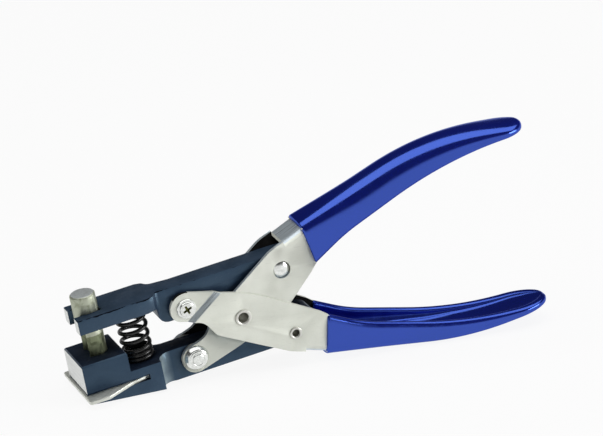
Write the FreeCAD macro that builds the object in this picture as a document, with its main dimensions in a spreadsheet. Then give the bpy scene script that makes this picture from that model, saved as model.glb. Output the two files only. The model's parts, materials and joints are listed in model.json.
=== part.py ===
"""Hand-held corner rounder for plastic cards, built in its own tool frame.

X runs to the rear along the middle line of the mechanism, Y across the jaws, Z along the
punch stroke.  Two jaws stay parallel while two crossed handles close them.  The finished tool
stands on the front edge of its base and on the belly of the lower grip.
"""
import FreeCAD, Part
import math
import os

import Sketcher
from FreeCAD import Placement, Rotation, Vector

SIZES = {
    # linkage
    "main_x": 61.0, "main_z": 10.3, "link": 21.4, "front_angle": 26.5, "rear_angle": 34.5,
    "closing": 12.0,
    # lower jaw
    "block_length": 16.8, "block_top": 12.6, "jaw_width": 20.0, "ledge_top": 5.25,
    "base_front": 1.8, "base_front_bottom": -2.3, "base_rear": 28.1, "base_rear_bottom": -5.6,
    "lower_arm_bottom": -6.5, "lower_arm_top": 4.9, "arm_width": 8.0, "arm_end": 88.4,
    "arm_start": 34.0, "arm_end_rounding": 4.5, "slot_floor": 0.1, "slot_depth": 23.3,
    "edge_chamfer": 0.5, "ledge_run": 4.0, "ledge_fall_run": 10.0, "jaw_waist_rounding": 5.4,
    "overcut": 2.0,
    # guide plate and card stop
    "plate_thickness": 1.2, "stop_thickness": 0.9, "stop_inset": 1.0, "plate_front": -0.8,
    "plate_half_width": 15.0, "wing_length": 7.3, "plate_waist_x": 16.6, "plate_waist": 10.0,
    "plate_tail": 8.4, "plate_corner": 1.0, "waist_rounding": 9.0, "notch_apex": 8.95,
    "fold_gap": 0.05, "screw_inset": 4.1, "screw_y": 7.0, "screw_diameter": 3.0,
    "screw_head": 5.2, "screw_head_clearance": 0.05, "screw_head_height": 0.9,
    "screw_sink": 1.2, "screw_top": 4.2,
    # punch
    "punch_x": 8.2, "punch_diameter": 9.0, "punch_top": 35.0, "punch_bottom": 7.4,
    "groove_radius": 5.0, "groove_x": 1.88, "groove_top": 22.3, "neck_width": 6.9,
    "punch_chamfer": 0.5, "die_clearance": 0.05, "drop_clearance": 0.3, "fork_clearance": 0.05,
    # upper jaw
    "head_front": 2.6, "head_bottom": 23.1, "head_top": 28.6, "head_width": 15.6,
    "head_rear": 28.0, "head_step": 4.6, "head_step_rounding": 2.0, "head_corner": 1.2,
    "crest_run": 12.0, "upper_arm_bottom": 15.9, "upper_arm_top": 28.1, "lug_front": 32.6,
    "lug_lean": 0.9, "lug_rounding": 3.8,
    # spring
    "spring_x": 23.3, "spring_diameter": 11.2, "spring_wire": 1.5, "end_turns": 1.0,
    "end_pitch": 1.62, "open_turns": 4.0, "seat_depth": 0.8, "seat_clearance": 0.3,
    "spring_gap": 0.05,
    # pivots
    "pivot_diameter": 5.0, "pivot_clearance": 0.04, "side_clearance": 0.05,
    "washer_thickness": 1.0, "washer_diameter": 9.0, "relief_clearance": 0.55,
    "slide_pin_diameter": 6.4, "slide_clearance": 0.05, "slide_pin_inset": 0.3,
    "slide_pin_bevel": 0.5, "slide_washer_diameter": 9.6, "roller_diameter": 6.4,
    "roller_bore": 3.9, "slide_rivet_diameter": 3.8, "slide_rivet_bore": 2.0,
    "slide_rivet_head": 4.6, "rivet_head_height": 0.5, "rivet_bevel": 0.2, "main_bore": 3.0,
    "main_head": 6.0, "jaw_screw_head": 7.3, "jaw_screw_head_height": 1.5,
    "jaw_screw_bevel": 0.5, "jaw_screw_core": 3.3, "jaw_nut_bore": 3.4, "jaw_nut_wall": 0.6,
    "collar_diameter": 9.0, "collar_height": 1.9, "collar_bevel": 0.6, "peened_height": 0.6,
    "peened_diameter": 6.2, "peened_bevel": 0.35,
    # handles
    "sheet": 1.4, "plate_gap": 0.1, "upper_lobe": 5.1, "lower_lobe": 5.8, "lobe_back": 4.9,
    "lobe_slope": 16.7,
    "neck_run": 4.95, "neck_rounding": 6.0, "shoulder_run": 10.5, "shoulder_rise": 3.3,
    "shoulder_rounding": 5.0, "crown_run": 14.5, "upper_crown_rise": 19.8,
    "lower_crown_rise": 18.3, "crown_rounding": 12.0, "web_start": 19.9, "back_run": 27.0,
    "upper_back_rise": 24.2, "lower_back_rise": 23.0, "back_rounding": 20.0, "bow_run": 81.1,
    "upper_bow_rise": 38.8, "lower_bow_rise": 35.3, "upper_bow_rounding": 91.8,
    "lower_bow_rounding": 108.8, "upper_tip_length": 32.7, "lower_tip_length": 30.7,
    "upper_tip_fall": 5.2, "lower_tip_fall": 2.3, "tip_thickness": 1.5, "tip_rounding": 4.4,
    "palm_offset": 2.7, "upper_palm_depth": 7.1, "lower_palm_depth": 3.6,
    "palm_rounding": 141.2, "grasp_run": 42.5, "grasp_rise": 17.7, "grasp_rounding": 61.2,
    "step_run": 29.0, "step_rise": 10.8, "step_rounding": 1.5, "heel_run": 28.6,
    "heel_rise": 7.9, "heel_rounding": 1.5, "waist_run": 4.5, "waist_rise": -8.5,
    "inner_rounding": 60.0, "upper_lift": 0.021, "bend_rounding": 2.4, "bend_length": 8.0,
    "joggle_start": 3.9, "joggle_run": 1.6, "joggle_slope": 34.3,
    # grips
    "vinyl": 1.2, "grip_front_outer": 27.2, "grip_front_inner": 30.3, "grip_rounding": 2.9,
    "grip_tip_length": 3.1, "grip_tip_rounding": 5.6,
}

document = FreeCAD.newDocument("corner_rounder")
sheet = document.addObject("Spreadsheet::Sheet", "Sizes")
for row, (alias, number) in enumerate(SIZES.items(), start=1):
    sheet.set(f"A{row}", alias)
    sheet.set(f"B{row}", str(number))
    sheet.setAlias(f"B{row}", alias)
document.recompute()


def named(text):
    """Put the sheet's name in front of every size in an expression."""
    words = []
    word = ""
    for letter in text + " ":
        if letter.isalnum() or letter == "_":
            word += letter
            continue
        words.append(f"Sizes.{word}" if word in SIZES else word)
        words.append(letter)
        word = ""
    return "".join(words).strip()


def value(text):
    """The number that an expression gives."""
    return float(sheet.evalExpression(named(text)))


# Pivot centres in the tool frame
MAIN = ("main_x", "main_z")
UPPER_JAW_PIVOT = ("(main_x - link * cos(front_angle))", "(main_z + link * sin(front_angle))")
LOWER_JAW_PIVOT = ("(main_x - link * cos(front_angle))", "(main_z - link * sin(front_angle))")
UPPER_SLIDE = ("(main_x + link * cos(rear_angle))", "(main_z + link * sin(rear_angle))")
LOWER_SLIDE = ("(main_x + link * cos(rear_angle))", "(main_z - link * sin(rear_angle))")
MEAN_ANGLE = "((front_angle + rear_angle) / 2)"
SLOT_TILT = "((rear_angle - front_angle) / 2)"
SLIDE_TRAVEL = f"(2 * link * (cos({MEAN_ANGLE} - closing) - cos({MEAN_ANGLE})))"
HUB_SHIFT = "(link * (cos(front_angle - closing) - cos(front_angle)))"
HUB_DROP = "(link * (sin(front_angle) - sin(front_angle - closing)))"
STROKE = f"(2 * {HUB_DROP})"

# Levels across the tool
ARM_HALF = "(arm_width / 2)"
INNER_FACE = f"({ARM_HALF} + side_clearance * 2 + washer_thickness)"
UPPER_FACE = f"({INNER_FACE} + sheet)"
LOWER_INNER = f"({UPPER_FACE} + plate_gap)"
LOWER_FACE = f"({LOWER_INNER} + sheet)"

# Places along the tool that follow from others
SCREW_X = "(slot_depth - screw_inset)"
PALM_RUN = "(bow_run + palm_offset)"

# Levels along the stroke
PLATE_TOP = "(slot_floor + plate_thickness)"
SLOT_TOP = f"({PLATE_TOP} + stop_thickness)"


def new_body(label):
    body = document.addObject("PartDesign::Body", label)
    body.Label = label
    return body


def new_sketch(body, name, plane, offset="0"):
    """A sketch on one of the body's own origin planes, moved along that plane's normal."""
    sketch = body.newObject("Sketcher::SketchObject", f"{body.Name}_{name}")
    support = [item for item in body.Origin.OriginFeatures if item.Role == plane][0]
    sketch.AttachmentSupport = [(support, "")]
    sketch.MapMode = "FlatFace"
    sketch.setExpression("AttachmentOffset.Base.z", named(offset))
    return sketch


def bind(sketch, constraint, text):
    index = sketch.addConstraint(constraint)
    sketch.setExpression(f"Constraints[{index}]", named(text))


def draw_outline(sketch, corners):
    """A closed outline of straight sides; a corner is (x, y) or (x, y, rounding radius)."""
    points = [Vector(value(corner[0]), value(corner[1]), 0) for corner in corners]
    count = len(points)
    sides = [sketch.addGeometry(Part.LineSegment(points[i], points[(i + 1) % count]), False)
             for i in range(count)]
    for i in range(count):
        following = sides[(i + 1) % count]
        sketch.addConstraint(Sketcher.Constraint("Coincident", sides[i], 2, following, 1))
    for side, point, corner in zip(sides, points, corners):
        bind(sketch, Sketcher.Constraint("DistanceX", -1, 1, side, 1, point.x), corner[0])
        bind(sketch, Sketcher.Constraint("DistanceY", -1, 1, side, 1, point.y), corner[1])
    for i, corner in enumerate(corners):
        if len(corner) == 2:
            continue
        radius = value(corner[2])
        before = sketch.GeometryCount
        near = points[i] + (points[i - 1] - points[i]) * 0.1
        far = points[i] + (points[(i + 1) % count] - points[i]) * 0.1
        sketch.fillet(sides[i - 1], sides[i], near, far, radius, True, True)
        for index in range(before, sketch.GeometryCount):
            if isinstance(sketch.Geometry[index], Part.ArcOfCircle):
                bind(sketch, Sketcher.Constraint("Radius", index, radius), corner[2])
            else:
                sketch.toggleConstruction(index)


def draw_circle(sketch, x, y, radius):
    circle = Part.Circle(Vector(value(x), value(y), 0), Vector(0, 0, 1), value(radius))
    index = sketch.addGeometry(circle, False)
    bind(sketch, Sketcher.Constraint("DistanceX", -1, 1, index, 3, value(x)), x)
    bind(sketch, Sketcher.Constraint("DistanceY", -1, 1, index, 3, value(y)), y)
    bind(sketch, Sketcher.Constraint("Radius", index, value(radius)), radius)


def draw_crescent(sketch, outer_radius, groove_radius):
    """The punch section: a circle with a round groove out of its front."""
    centre = value("punch_x")
    hollow = value("groove_x")
    outer = value(outer_radius)
    inner = value(groove_radius)
    gap = centre - hollow
    across = (gap * gap + inner * inner - outer * outer) / (2 * gap)
    lip = math.sqrt(inner * inner - across * across)
    upper = math.atan2(lip, hollow + across - centre)
    mouth = math.atan2(lip, across)
    big = Part.ArcOfCircle(Part.Circle(Vector(centre, 0, 0), Vector(0, 0, 1), outer),
                           -upper, upper)
    small = Part.ArcOfCircle(Part.Circle(Vector(hollow, 0, 0), Vector(0, 0, 1), inner),
                             -mouth, mouth)
    first = sketch.addGeometry(big, False)
    second = sketch.addGeometry(small, False)
    for index, place, radius, number in ((first, "punch_x", outer_radius, outer),
                                         (second, "groove_x", groove_radius, inner)):
        bind(sketch, Sketcher.Constraint("DistanceX", -1, 1, index, 3, value(place)), place)
        sketch.addConstraint(Sketcher.Constraint("PointOnObject", index, 3, -1))
        bind(sketch, Sketcher.Constraint("Radius", index, number), radius)
    sketch.addConstraint(Sketcher.Constraint("Coincident", first, 1, second, 1))
    sketch.addConstraint(Sketcher.Constraint("Coincident", first, 2, second, 2))


def draw_slot(sketch, x, y, direction, travel, radius):
    """A slot from (x, y) along a direction in degrees, with round ends."""
    angle = math.radians(value(direction))
    along = Vector(math.cos(angle), math.sin(angle), 0)
    across = Vector(-math.sin(angle), math.cos(angle), 0)
    size = value(radius)
    start = Vector(value(x), value(y), 0)
    end = start + along * value(travel)
    turn = math.pi / 2
    left = Part.ArcOfCircle(Part.Circle(start, Vector(0, 0, 1), size), angle + turn,
                            angle + 3 * turn)
    right = Part.ArcOfCircle(Part.Circle(end, Vector(0, 0, 1), size), angle - turn, angle + turn)
    upper = Part.LineSegment(end + across * size, start + across * size)
    lower = Part.LineSegment(start - across * size, end - across * size)
    first = sketch.addGeometry(left, False)
    second = sketch.addGeometry(right, False)
    third = sketch.addGeometry(upper, False)
    fourth = sketch.addGeometry(lower, False)
    sketch.addConstraint(Sketcher.Constraint("Tangent", third, 2, first, 1))
    sketch.addConstraint(Sketcher.Constraint("Tangent", fourth, 1, first, 2))
    sketch.addConstraint(Sketcher.Constraint("Tangent", fourth, 2, second, 1))
    sketch.addConstraint(Sketcher.Constraint("Tangent", third, 1, second, 2))
    bind(sketch, Sketcher.Constraint("DistanceX", -1, 1, first, 3, start.x), x)
    bind(sketch, Sketcher.Constraint("DistanceY", -1, 1, first, 3, start.y), y)
    end_x = f"{x} + {travel} * cos({direction})"
    end_y = f"{y} + {travel} * sin({direction})"
    bind(sketch, Sketcher.Constraint("DistanceX", -1, 1, second, 3, end.x), end_x)
    bind(sketch, Sketcher.Constraint("DistanceY", -1, 1, second, 3, end.y), end_y)
    bind(sketch, Sketcher.Constraint("Radius", first, size), radius)


def add_pad(body, sketch, length, symmetric=True, backward=False):
    pad = body.newObject("PartDesign::Pad", f"{sketch.Name}_pad")
    pad.Profile = sketch
    pad.SideType = "Symmetric" if symmetric else "One side"
    pad.Reversed = backward
    pad.setExpression("Length", named(length))
    return pad


def cut_pocket(body, sketch, length, symmetric=True, backward=False):
    """A pocket; it fails loudly when it removes nothing."""
    document.recompute()
    before = body.Shape.Volume
    pocket = body.newObject("PartDesign::Pocket", f"{sketch.Name}_pocket")
    pocket.Profile = sketch
    pocket.SideType = "Symmetric" if symmetric else "One side"
    pocket.Reversed = backward
    pocket.setExpression("Length", named(length))
    document.recompute()
    if not body.Shape.Volume < before - 1e-4:
        raise RuntimeError(f"{pocket.Name} removes nothing")
    return pocket


def edges_where(feature, test):
    """Names of the edges of a feature that pass a test."""
    return [f"Edge{i}" for i, edge in enumerate(feature.Shape.Edges, start=1) if test(edge)]


def is_top_edge(level, shortest):
    """Test for straight edges at a level that are longer than a size."""
    height = value(level)
    limit = value(shortest)

    def test(edge):
        flat = all(abs(vertex.Z - height) < 1e-6 for vertex in edge.Vertexes)
        return flat and isinstance(edge.Curve, Part.Line) and edge.Length > limit
    return test


def dress(body, kind, feature, test, size_name):
    """A fillet or chamfer on the edges of the latest feature that pass a test."""
    document.recompute()
    names = edges_where(feature, test)
    if not names:
        raise RuntimeError(f"{body.Name} has no edge for its {kind}")
    item = body.newObject(f"PartDesign::{kind}", f"{feature.Name}_{kind.lower()}")
    item.Base = (feature, names)
    item.setExpression("Radius" if kind == "Fillet" else "Size", named(size_name))
    document.recompute()
    return item


def revolve(body, corners, name="profile"):
    """A round piece about the body's own Y axis; corners are (radius, along)."""
    sketch = new_sketch(body, name, "XY_Plane")
    if isinstance(corners[0][0], str):
        corners = [corners]
    for outline in corners:
        draw_outline(sketch, outline)
    turned = body.newObject("PartDesign::Revolution", f"{sketch.Name}_turned")
    turned.Profile = sketch
    turned.ReferenceAxis = (sketch, ["V_Axis"])
    turned.Angle = 360
    document.recompute()
    return turned


def ring(inner, outer, start, end):
    return [(inner, start), (outer, start), (outer, end), (inner, end)]


# ---------------------------------------------------------------- lower jaw
lower_jaw = new_body("lower_jaw")
side = new_sketch(lower_jaw, "side", "XZ_Plane")
draw_outline(side, [
    ("0", "slot_floor + plate_thickness"),
    ("base_front", "slot_floor + plate_thickness"),
    ("base_front", "base_front_bottom"),
    ("base_rear", "base_rear_bottom"),
    ("arm_start", "lower_arm_bottom"),
    ("arm_end", "lower_arm_bottom", "arm_end_rounding"),
    ("arm_end", "lower_arm_top", "arm_end_rounding"),
    ("arm_start + ledge_run + ledge_fall_run", "lower_arm_top"),
    ("arm_start + ledge_run", "ledge_top"),
    ("block_length", "ledge_top"),
    ("block_length", "block_top"),
    ("0", "block_top"),
])
blank = add_pad(lower_jaw, side, "jaw_width")
slit = new_sketch(lower_jaw, "slit", "XZ_Plane")
draw_outline(slit, [("-overcut", "slot_floor"), ("slot_depth", "slot_floor"),
                    ("slot_depth", SLOT_TOP), ("-overcut", SLOT_TOP)])
cut_pocket(lower_jaw, slit, "jaw_width + overcut")
waist = new_sketch(lower_jaw, "waist", "XY_Plane", "block_top")
HALF_JAW = "(jaw_width / 2)"
for sign in ("", "-"):
    draw_outline(waist, [
        ("base_rear", f"{sign}({HALF_JAW} + overcut)"),
        ("arm_end + overcut", f"{sign}({HALF_JAW} + overcut)"),
        ("arm_end + overcut", f"{sign}{ARM_HALF}"),
        ("base_rear", f"{sign}{ARM_HALF}", "jaw_waist_rounding"),
    ])
cut_pocket(lower_jaw, waist, "block_top - lower_arm_bottom + overcut", symmetric=False)
die = new_sketch(lower_jaw, "die", "XY_Plane", "block_top")
draw_crescent(die, "punch_diameter / 2 + die_clearance", "groove_radius - die_clearance")
cut_pocket(lower_jaw, die, f"block_top - {SLOT_TOP} + stop_thickness / 2", symmetric=False)
drop = new_sketch(lower_jaw, "drop", "XY_Plane", PLATE_TOP)
draw_circle(drop, "punch_x", "0", "punch_diameter / 2 + drop_clearance")
cut_pocket(lower_jaw, drop, "plate_thickness - base_rear_bottom + overcut", symmetric=False)
seat = new_sketch(lower_jaw, "seat", "XY_Plane", "ledge_top")
draw_circle(seat, "spring_x", "0", "spring_diameter / 2 + seat_clearance")
cut_pocket(lower_jaw, seat, "seat_depth", symmetric=False)
pivots = new_sketch(lower_jaw, "pivots", "XZ_Plane")
draw_circle(pivots, *LOWER_JAW_PIVOT, "pivot_diameter / 2 + pivot_clearance")
HUB_RELIEF = f"(pivot_diameter / 2 + relief_clearance + {HUB_SHIFT} / 2)"
draw_circle(pivots, f"main_x + {HUB_SHIFT} / 2", f"main_z - {HUB_DROP}", HUB_RELIEF)
draw_slot(pivots, *LOWER_SLIDE, f"-{SLOT_TILT}", SLIDE_TRAVEL,
          "roller_diameter / 2 + slide_clearance")
cut_pocket(lower_jaw, pivots, "jaw_width")
screw_holes = new_sketch(lower_jaw, "screw_holes", "XY_Plane", "screw_top")
for sign in ("", "-"):
    draw_circle(screw_holes, SCREW_X, f"{sign}screw_y", "screw_diameter / 2")
cut_pocket(lower_jaw, screw_holes, "screw_top - base_rear_bottom + overcut", symmetric=False)


def base_bottom(x):
    """Height of the sloping underside at x, as an expression."""
    slope = "(base_rear_bottom - base_front_bottom) / (base_rear - base_front)"
    return f"(base_front_bottom + ({x} - base_front) * {slope})"


SCREW_SEAT = f"{base_bottom(SCREW_X)} + screw_sink"
head_holes = new_sketch(lower_jaw, "head_holes", "XY_Plane", SCREW_SEAT)
for sign in ("", "-"):
    draw_circle(head_holes, SCREW_X, f"{sign}screw_y", "screw_head / 2")
holes = cut_pocket(lower_jaw, head_holes, "screw_sink + overcut", symmetric=False)
dress(lower_jaw, "Chamfer", holes, is_top_edge("block_top", HALF_JAW), "edge_chamfer")

# ---------------------------------------------------------------- guide plate and card stop
guide_plate = new_body("guide_plate")
plan = new_sketch(guide_plate, "plan", "XY_Plane", "slot_floor")
PLATE_END = "slot_depth - fold_gap"
draw_outline(plan, [
    ("plate_front", "-plate_half_width", "plate_corner"),
    ("plate_front + wing_length", "-plate_half_width", "plate_corner * 2"),
    ("plate_waist_x", "-plate_waist", "waist_rounding"),
    (PLATE_END, "-plate_tail"),
    (PLATE_END, "plate_tail"),
    ("plate_waist_x", "plate_waist", "waist_rounding"),
    ("plate_front + wing_length", "plate_half_width", "plate_corner * 2"),
    ("plate_front", "plate_half_width", "plate_corner"),
])
draw_circle(plan, "punch_x", "0", "punch_diameter / 2 + drop_clearance")
for sign in ("", "-"):
    draw_circle(plan, SCREW_X, f"{sign}screw_y", "screw_diameter / 2")
add_pad(guide_plate, plan, "plate_thickness", symmetric=False)

card_stop = new_body("card_stop")
HALF_STOP = "(jaw_width / 2 - stop_inset)"
plan = new_sketch(card_stop, "plan", "XY_Plane", PLATE_TOP)
draw_outline(plan, [
    ("0", f"-{HALF_STOP}"),
    (f"{PLATE_END} - stop_inset", f"-{HALF_STOP}"),
    (f"{PLATE_END} - stop_inset", HALF_STOP),
    ("0", HALF_STOP),
    ("0", "notch_apex"),
    ("notch_apex", "0"),
    ("0", "-notch_apex"),
])
for sign in ("", "-"):
    draw_circle(plan, SCREW_X, f"{sign}screw_y", "screw_diameter / 2")
add_pad(card_stop, plan, "stop_thickness", symmetric=False)
hole = new_sketch(card_stop, "hole", "XY_Plane", SLOT_TOP)
draw_circle(hole, "punch_x", "0", "punch_diameter / 2 + drop_clearance")
cut_pocket(card_stop, hole, "stop_thickness", symmetric=False)

guide_plate_screws = new_body("guide_plate_screws")
guide_plate_screws.AllowCompound = True
heads = new_sketch(guide_plate_screws, "heads", "XY_Plane", SCREW_SEAT)
shanks = new_sketch(guide_plate_screws, "shanks", "XY_Plane", "screw_top")
for sign in ("", "-"):
    draw_circle(heads, SCREW_X, f"{sign}screw_y", "screw_head / 2 - screw_head_clearance")
    draw_circle(shanks, SCREW_X, f"{sign}screw_y", "screw_diameter / 2")
shank_pad = add_pad(guide_plate_screws, shanks,
                    f"screw_top - ({SCREW_SEAT})", symmetric=False, backward=True)
shank_pad.AllowMultiFace = True
head_pad = add_pad(guide_plate_screws, heads, "screw_head_height", symmetric=False,
                   backward=True)
head_pad.AllowMultiFace = True

# ---------------------------------------------------------------- upper jaw and punch
upper_jaw = new_body("upper_jaw")
side = new_sketch(upper_jaw, "side", "XZ_Plane")
draw_outline(side, [
    ("head_front", "head_bottom"),
    ("lug_front - lug_lean", "head_bottom", "head_corner"),
    ("lug_front", "upper_arm_bottom", "lug_rounding"),
    ("arm_end", "upper_arm_bottom", "arm_end_rounding"),
    ("arm_end", "upper_arm_top", "arm_end_rounding"),
    ("head_rear + crest_run", "upper_arm_top"),
    ("head_rear + head_step", "head_top"),
    ("head_front", "head_top"),
])
add_pad(upper_jaw, side, "head_width")
waist = new_sketch(upper_jaw, "waist", "XY_Plane", "head_top")
HALF_HEAD = "(head_width / 2)"
for sign in ("", "-"):
    draw_outline(waist, [
        ("head_rear", f"{sign}{HALF_HEAD}"),
        ("head_rear", f"{sign}({HALF_HEAD} + overcut)"),
        ("arm_end + overcut", f"{sign}({HALF_HEAD} + overcut)"),
        ("arm_end + overcut", f"{sign}{ARM_HALF}"),
        ("head_rear + head_step", f"{sign}{ARM_HALF}", "head_step_rounding"),
        ("head_rear + head_step * 0.67", f"{sign}({HALF_HEAD} - head_corner)", "head_corner"),
    ])
cut_pocket(upper_jaw, waist, "head_top - upper_arm_bottom + overcut", symmetric=False)
fork = new_sketch(upper_jaw, "fork", "XY_Plane", "head_top")
FORK_END = "(punch_x + punch_diameter / 2 + fork_clearance)"
FORK_HALF = "(neck_width / 2 + fork_clearance)"
draw_outline(fork, [("head_front - overcut", f"-{FORK_HALF}"), (FORK_END, f"-{FORK_HALF}"),
                    (FORK_END, FORK_HALF), ("head_front - overcut", FORK_HALF)])
cut_pocket(upper_jaw, fork, "head_top - head_bottom + overcut", symmetric=False)
seat = new_sketch(upper_jaw, "seat", "XY_Plane", "head_bottom + seat_depth")
draw_circle(seat, "spring_x", "0", "spring_diameter / 2 + seat_clearance")
cut_pocket(upper_jaw, seat, "seat_depth + overcut", symmetric=False)
pivots = new_sketch(upper_jaw, "pivots", "XZ_Plane")
draw_circle(pivots, *UPPER_JAW_PIVOT, "pivot_diameter / 2 + pivot_clearance")
draw_circle(pivots, f"main_x + {HUB_SHIFT} / 2", f"main_z + {HUB_DROP}", HUB_RELIEF)
draw_slot(pivots, *UPPER_SLIDE, SLOT_TILT, SLIDE_TRAVEL,
          "slide_pin_diameter / 2 + slide_clearance")
holes = cut_pocket(upper_jaw, pivots, "head_width + overcut")
dress(upper_jaw, "Chamfer", holes, is_top_edge("head_top", "head_width / 4"), "edge_chamfer * 0.7")

punch = new_body("punch")
section = new_sketch(punch, "section", "XY_Plane", "punch_bottom")
draw_circle(section, "punch_x", "0", "punch_diameter / 2")
add_pad(punch, section, "punch_top - punch_bottom", symmetric=False)
groove = new_sketch(punch, "groove", "XY_Plane", "groove_top")
draw_circle(groove, "groove_x", "0", "groove_radius")
cut_pocket(punch, groove, "groove_top - punch_bottom + overcut", symmetric=False)
flats = new_sketch(punch, "flats", "XY_Plane", "head_top + fork_clearance")
for sign in ("", "-"):
    draw_outline(flats, [
        ("punch_x - punch_diameter", f"{sign}(neck_width / 2)"),
        ("punch_x - punch_diameter", f"{sign}punch_diameter"),
        ("punch_x + punch_diameter", f"{sign}punch_diameter"),
        ("punch_x + punch_diameter", f"{sign}(neck_width / 2)"),
    ])
neck = cut_pocket(punch, flats, "head_top - head_bottom + 2 * fork_clearance", symmetric=False)
top = value("punch_top")
dress(punch, "Chamfer", neck, lambda edge: all(abs(v.Z - top) < 1e-6 for v in edge.Vertexes),
      "punch_chamfer")

# ---------------------------------------------------------------- return spring
SPRING_FLOOR = "(ledge_top - seat_depth)"
SPRING_TOP = "(head_bottom + seat_depth - spring_gap)"
CHORDS_PER_TURN = 16
WIRE_SIDES = 8
coil_radius = value("(spring_diameter - spring_wire) / 2")
wire = value("spring_wire")
floor = value(SPRING_FLOOR)
ceiling = value(SPRING_TOP)
end_turns = value("end_turns")
end_rise = value("end_turns * end_pitch")
turns = value("open_turns + 2 * end_turns")
foot = floor + wire / 4
head = ceiling - wire / 4


def wire_height(turn):
    """Height of the wire's middle: close turns at both ends, open turns between."""
    if turn <= end_turns:
        return foot + end_rise * turn / end_turns
    if turn >= turns - end_turns:
        return head - end_rise * (turns - turn) / end_turns
    share = (turn - end_turns) / (turns - 2 * end_turns)
    return foot + end_rise + (head - foot - 2 * end_rise) * share


def wire_ring(turn):
    """The wire's outline square to its own line at a turn, as an even-sided polygon."""
    angle = 2 * math.pi * turn
    outward = Vector(math.cos(angle), math.sin(angle), 0)
    level = Vector(-math.sin(angle), math.cos(angle), 0) * (2 * math.pi * coil_radius)
    nudge = 1 / CHORDS_PER_TURN / 100
    before = max(turn - nudge, 0)
    after = min(turn + nudge, turns)
    rise = Vector(0, 0, (wire_height(after) - wire_height(before)) / (after - before))
    upward = outward.cross(level + rise).normalize()
    middle = outward * coil_radius + Vector(0, 0, wire_height(turn))
    corners = []
    for side in range(WIRE_SIDES):
        around = 2 * math.pi * (side + 0.5) / WIRE_SIDES
        spoke = outward * math.cos(around) + upward * math.sin(around)
        corners.append(middle + spoke * corner_radius)
    return Part.makePolygon(corners + corners[:1])


corner_radius = wire / 2 / math.sqrt(math.cos(math.pi / WIRE_SIDES))
steps = round(turns * CHORDS_PER_TURN)
rings = [wire_ring(turns * step / steps) for step in range(steps + 1)]
drum = Part.makeCylinder(coil_radius + wire, ceiling - floor, Vector(0, 0, floor))
return_spring = document.addObject("Part::Feature", "return_spring")
return_spring.Label = "return_spring"
return_spring.Shape = Part.makeLoft(rings, True, True).common(drum)


# ---------------------------------------------------------------- handles
def handle_points(side, points):
    """Turn (run, rise) about the main pivot into tool coordinates.

    The upper handle rises above the mid-line and leans up a little; the lower one mirrors it.
    """
    turned = []
    for run, rise, *rounding in points:
        if side == "upper":
            height = f"main_z + ({rise}) + upper_lift * ({run})"
        else:
            height = f"main_z - ({rise})"
        turned.append((f"main_x + ({run})", height, *rounding))
    return turned


FRONT_RUN = "(-link * cos(front_angle))"
FRONT_RISE = "(-link * sin(front_angle))"


def end_run(side):
    """Run of a handle's steel at its end."""
    return f"(bow_run + {side}_tip_length)"


def end_rise(side):
    """Rise of the back of a handle's steel at its end."""
    return f"({side}_bow_rise - {side}_tip_fall)"


def palm_rise(side):
    """Rise of the corner of the steel's palm side under the bow."""
    return f"({side}_bow_rise - {side}_palm_depth)"


def rise_between(side, first, second, run):
    """Rise of the straight back of a handle between two of its named corners."""
    return (f"({side}_{first}_rise + ({run} - {first}_run)"
            f" * ({side}_{second}_rise - {side}_{first}_rise) / ({second}_run - {first}_run))")


def plate_outline(side):
    """Side view of a handle's steel, from its front lobe to its hidden end."""
    lobe = f"{side}_lobe"
    tilt = "tan(lobe_slope)"
    reach = f"({lobe} / cos(lobe_slope))"
    back_reach = "(lobe_back / cos(lobe_slope))"
    return [
        (f"{FRONT_RUN} - {lobe}", f"{FRONT_RISE} - {reach} - {lobe} * {tilt}", lobe),
        ("waist_run", "waist_rise", "inner_rounding"),
        ("heel_run", "heel_rise", "heel_rounding"),
        ("step_run", "step_rise", "step_rounding"),
        ("grasp_run", "grasp_rise", "grasp_rounding"),
        (PALM_RUN, palm_rise(side), "palm_rounding"),
        (end_run(side), f"{end_rise(side)} - tip_thickness"),
        (end_run(side), end_rise(side)),
        ("bow_run", f"{side}_bow_rise", f"{side}_bow_rounding"),
        ("back_run", f"{side}_back_rise", "back_rounding"),
        ("crown_run", f"{side}_crown_rise", "crown_rounding"),
        ("-shoulder_run", "shoulder_rise", "shoulder_rounding"),
        (f"{FRONT_RUN} + neck_run", f"{FRONT_RISE} + {back_reach} + neck_run * {tilt}",
         "neck_rounding"),
        (f"{FRONT_RUN} - {lobe}", f"{FRONT_RISE} + {back_reach} - {lobe} * {tilt}",
         "lobe_back * 0.85"),
    ]


def web_line(side, depth):
    """The back of the handle from the web's front to its end, at a depth below the outside."""
    return [
        ("web_start", f"{rise_between(side, 'crown', 'back', 'web_start')} - {depth} * 1.06"),
        ("back_run", f"{side}_back_rise - {depth} * 1.05", "back_rounding"),
        ("bow_run", f"{side}_bow_rise - {depth} * 1.01", f"{side}_bow_rounding - {depth}"),
        (end_run(side), f"{end_rise(side)} - {depth} * 1.01"),
    ]


def square_to(body, name, centre, direction):
    """A sketch with its origin at a point of the side view, whose x runs along a direction.

    The direction is in degrees above the tool's own x; the sketch's y runs across the tool.
    """
    sketch = new_sketch(body, name, "XZ_Plane")
    sketch.setExpression("AttachmentOffset.Base.z", None)
    turn = Rotation(Vector(0, 0, 1), direction)
    square = Rotation(Vector(1, 0, 0), 90)
    spot = Vector(value(centre[0]), value(centre[1]), 0)
    sketch.AttachmentOffset = Placement(spot, turn.multiply(square))
    return sketch


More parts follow.
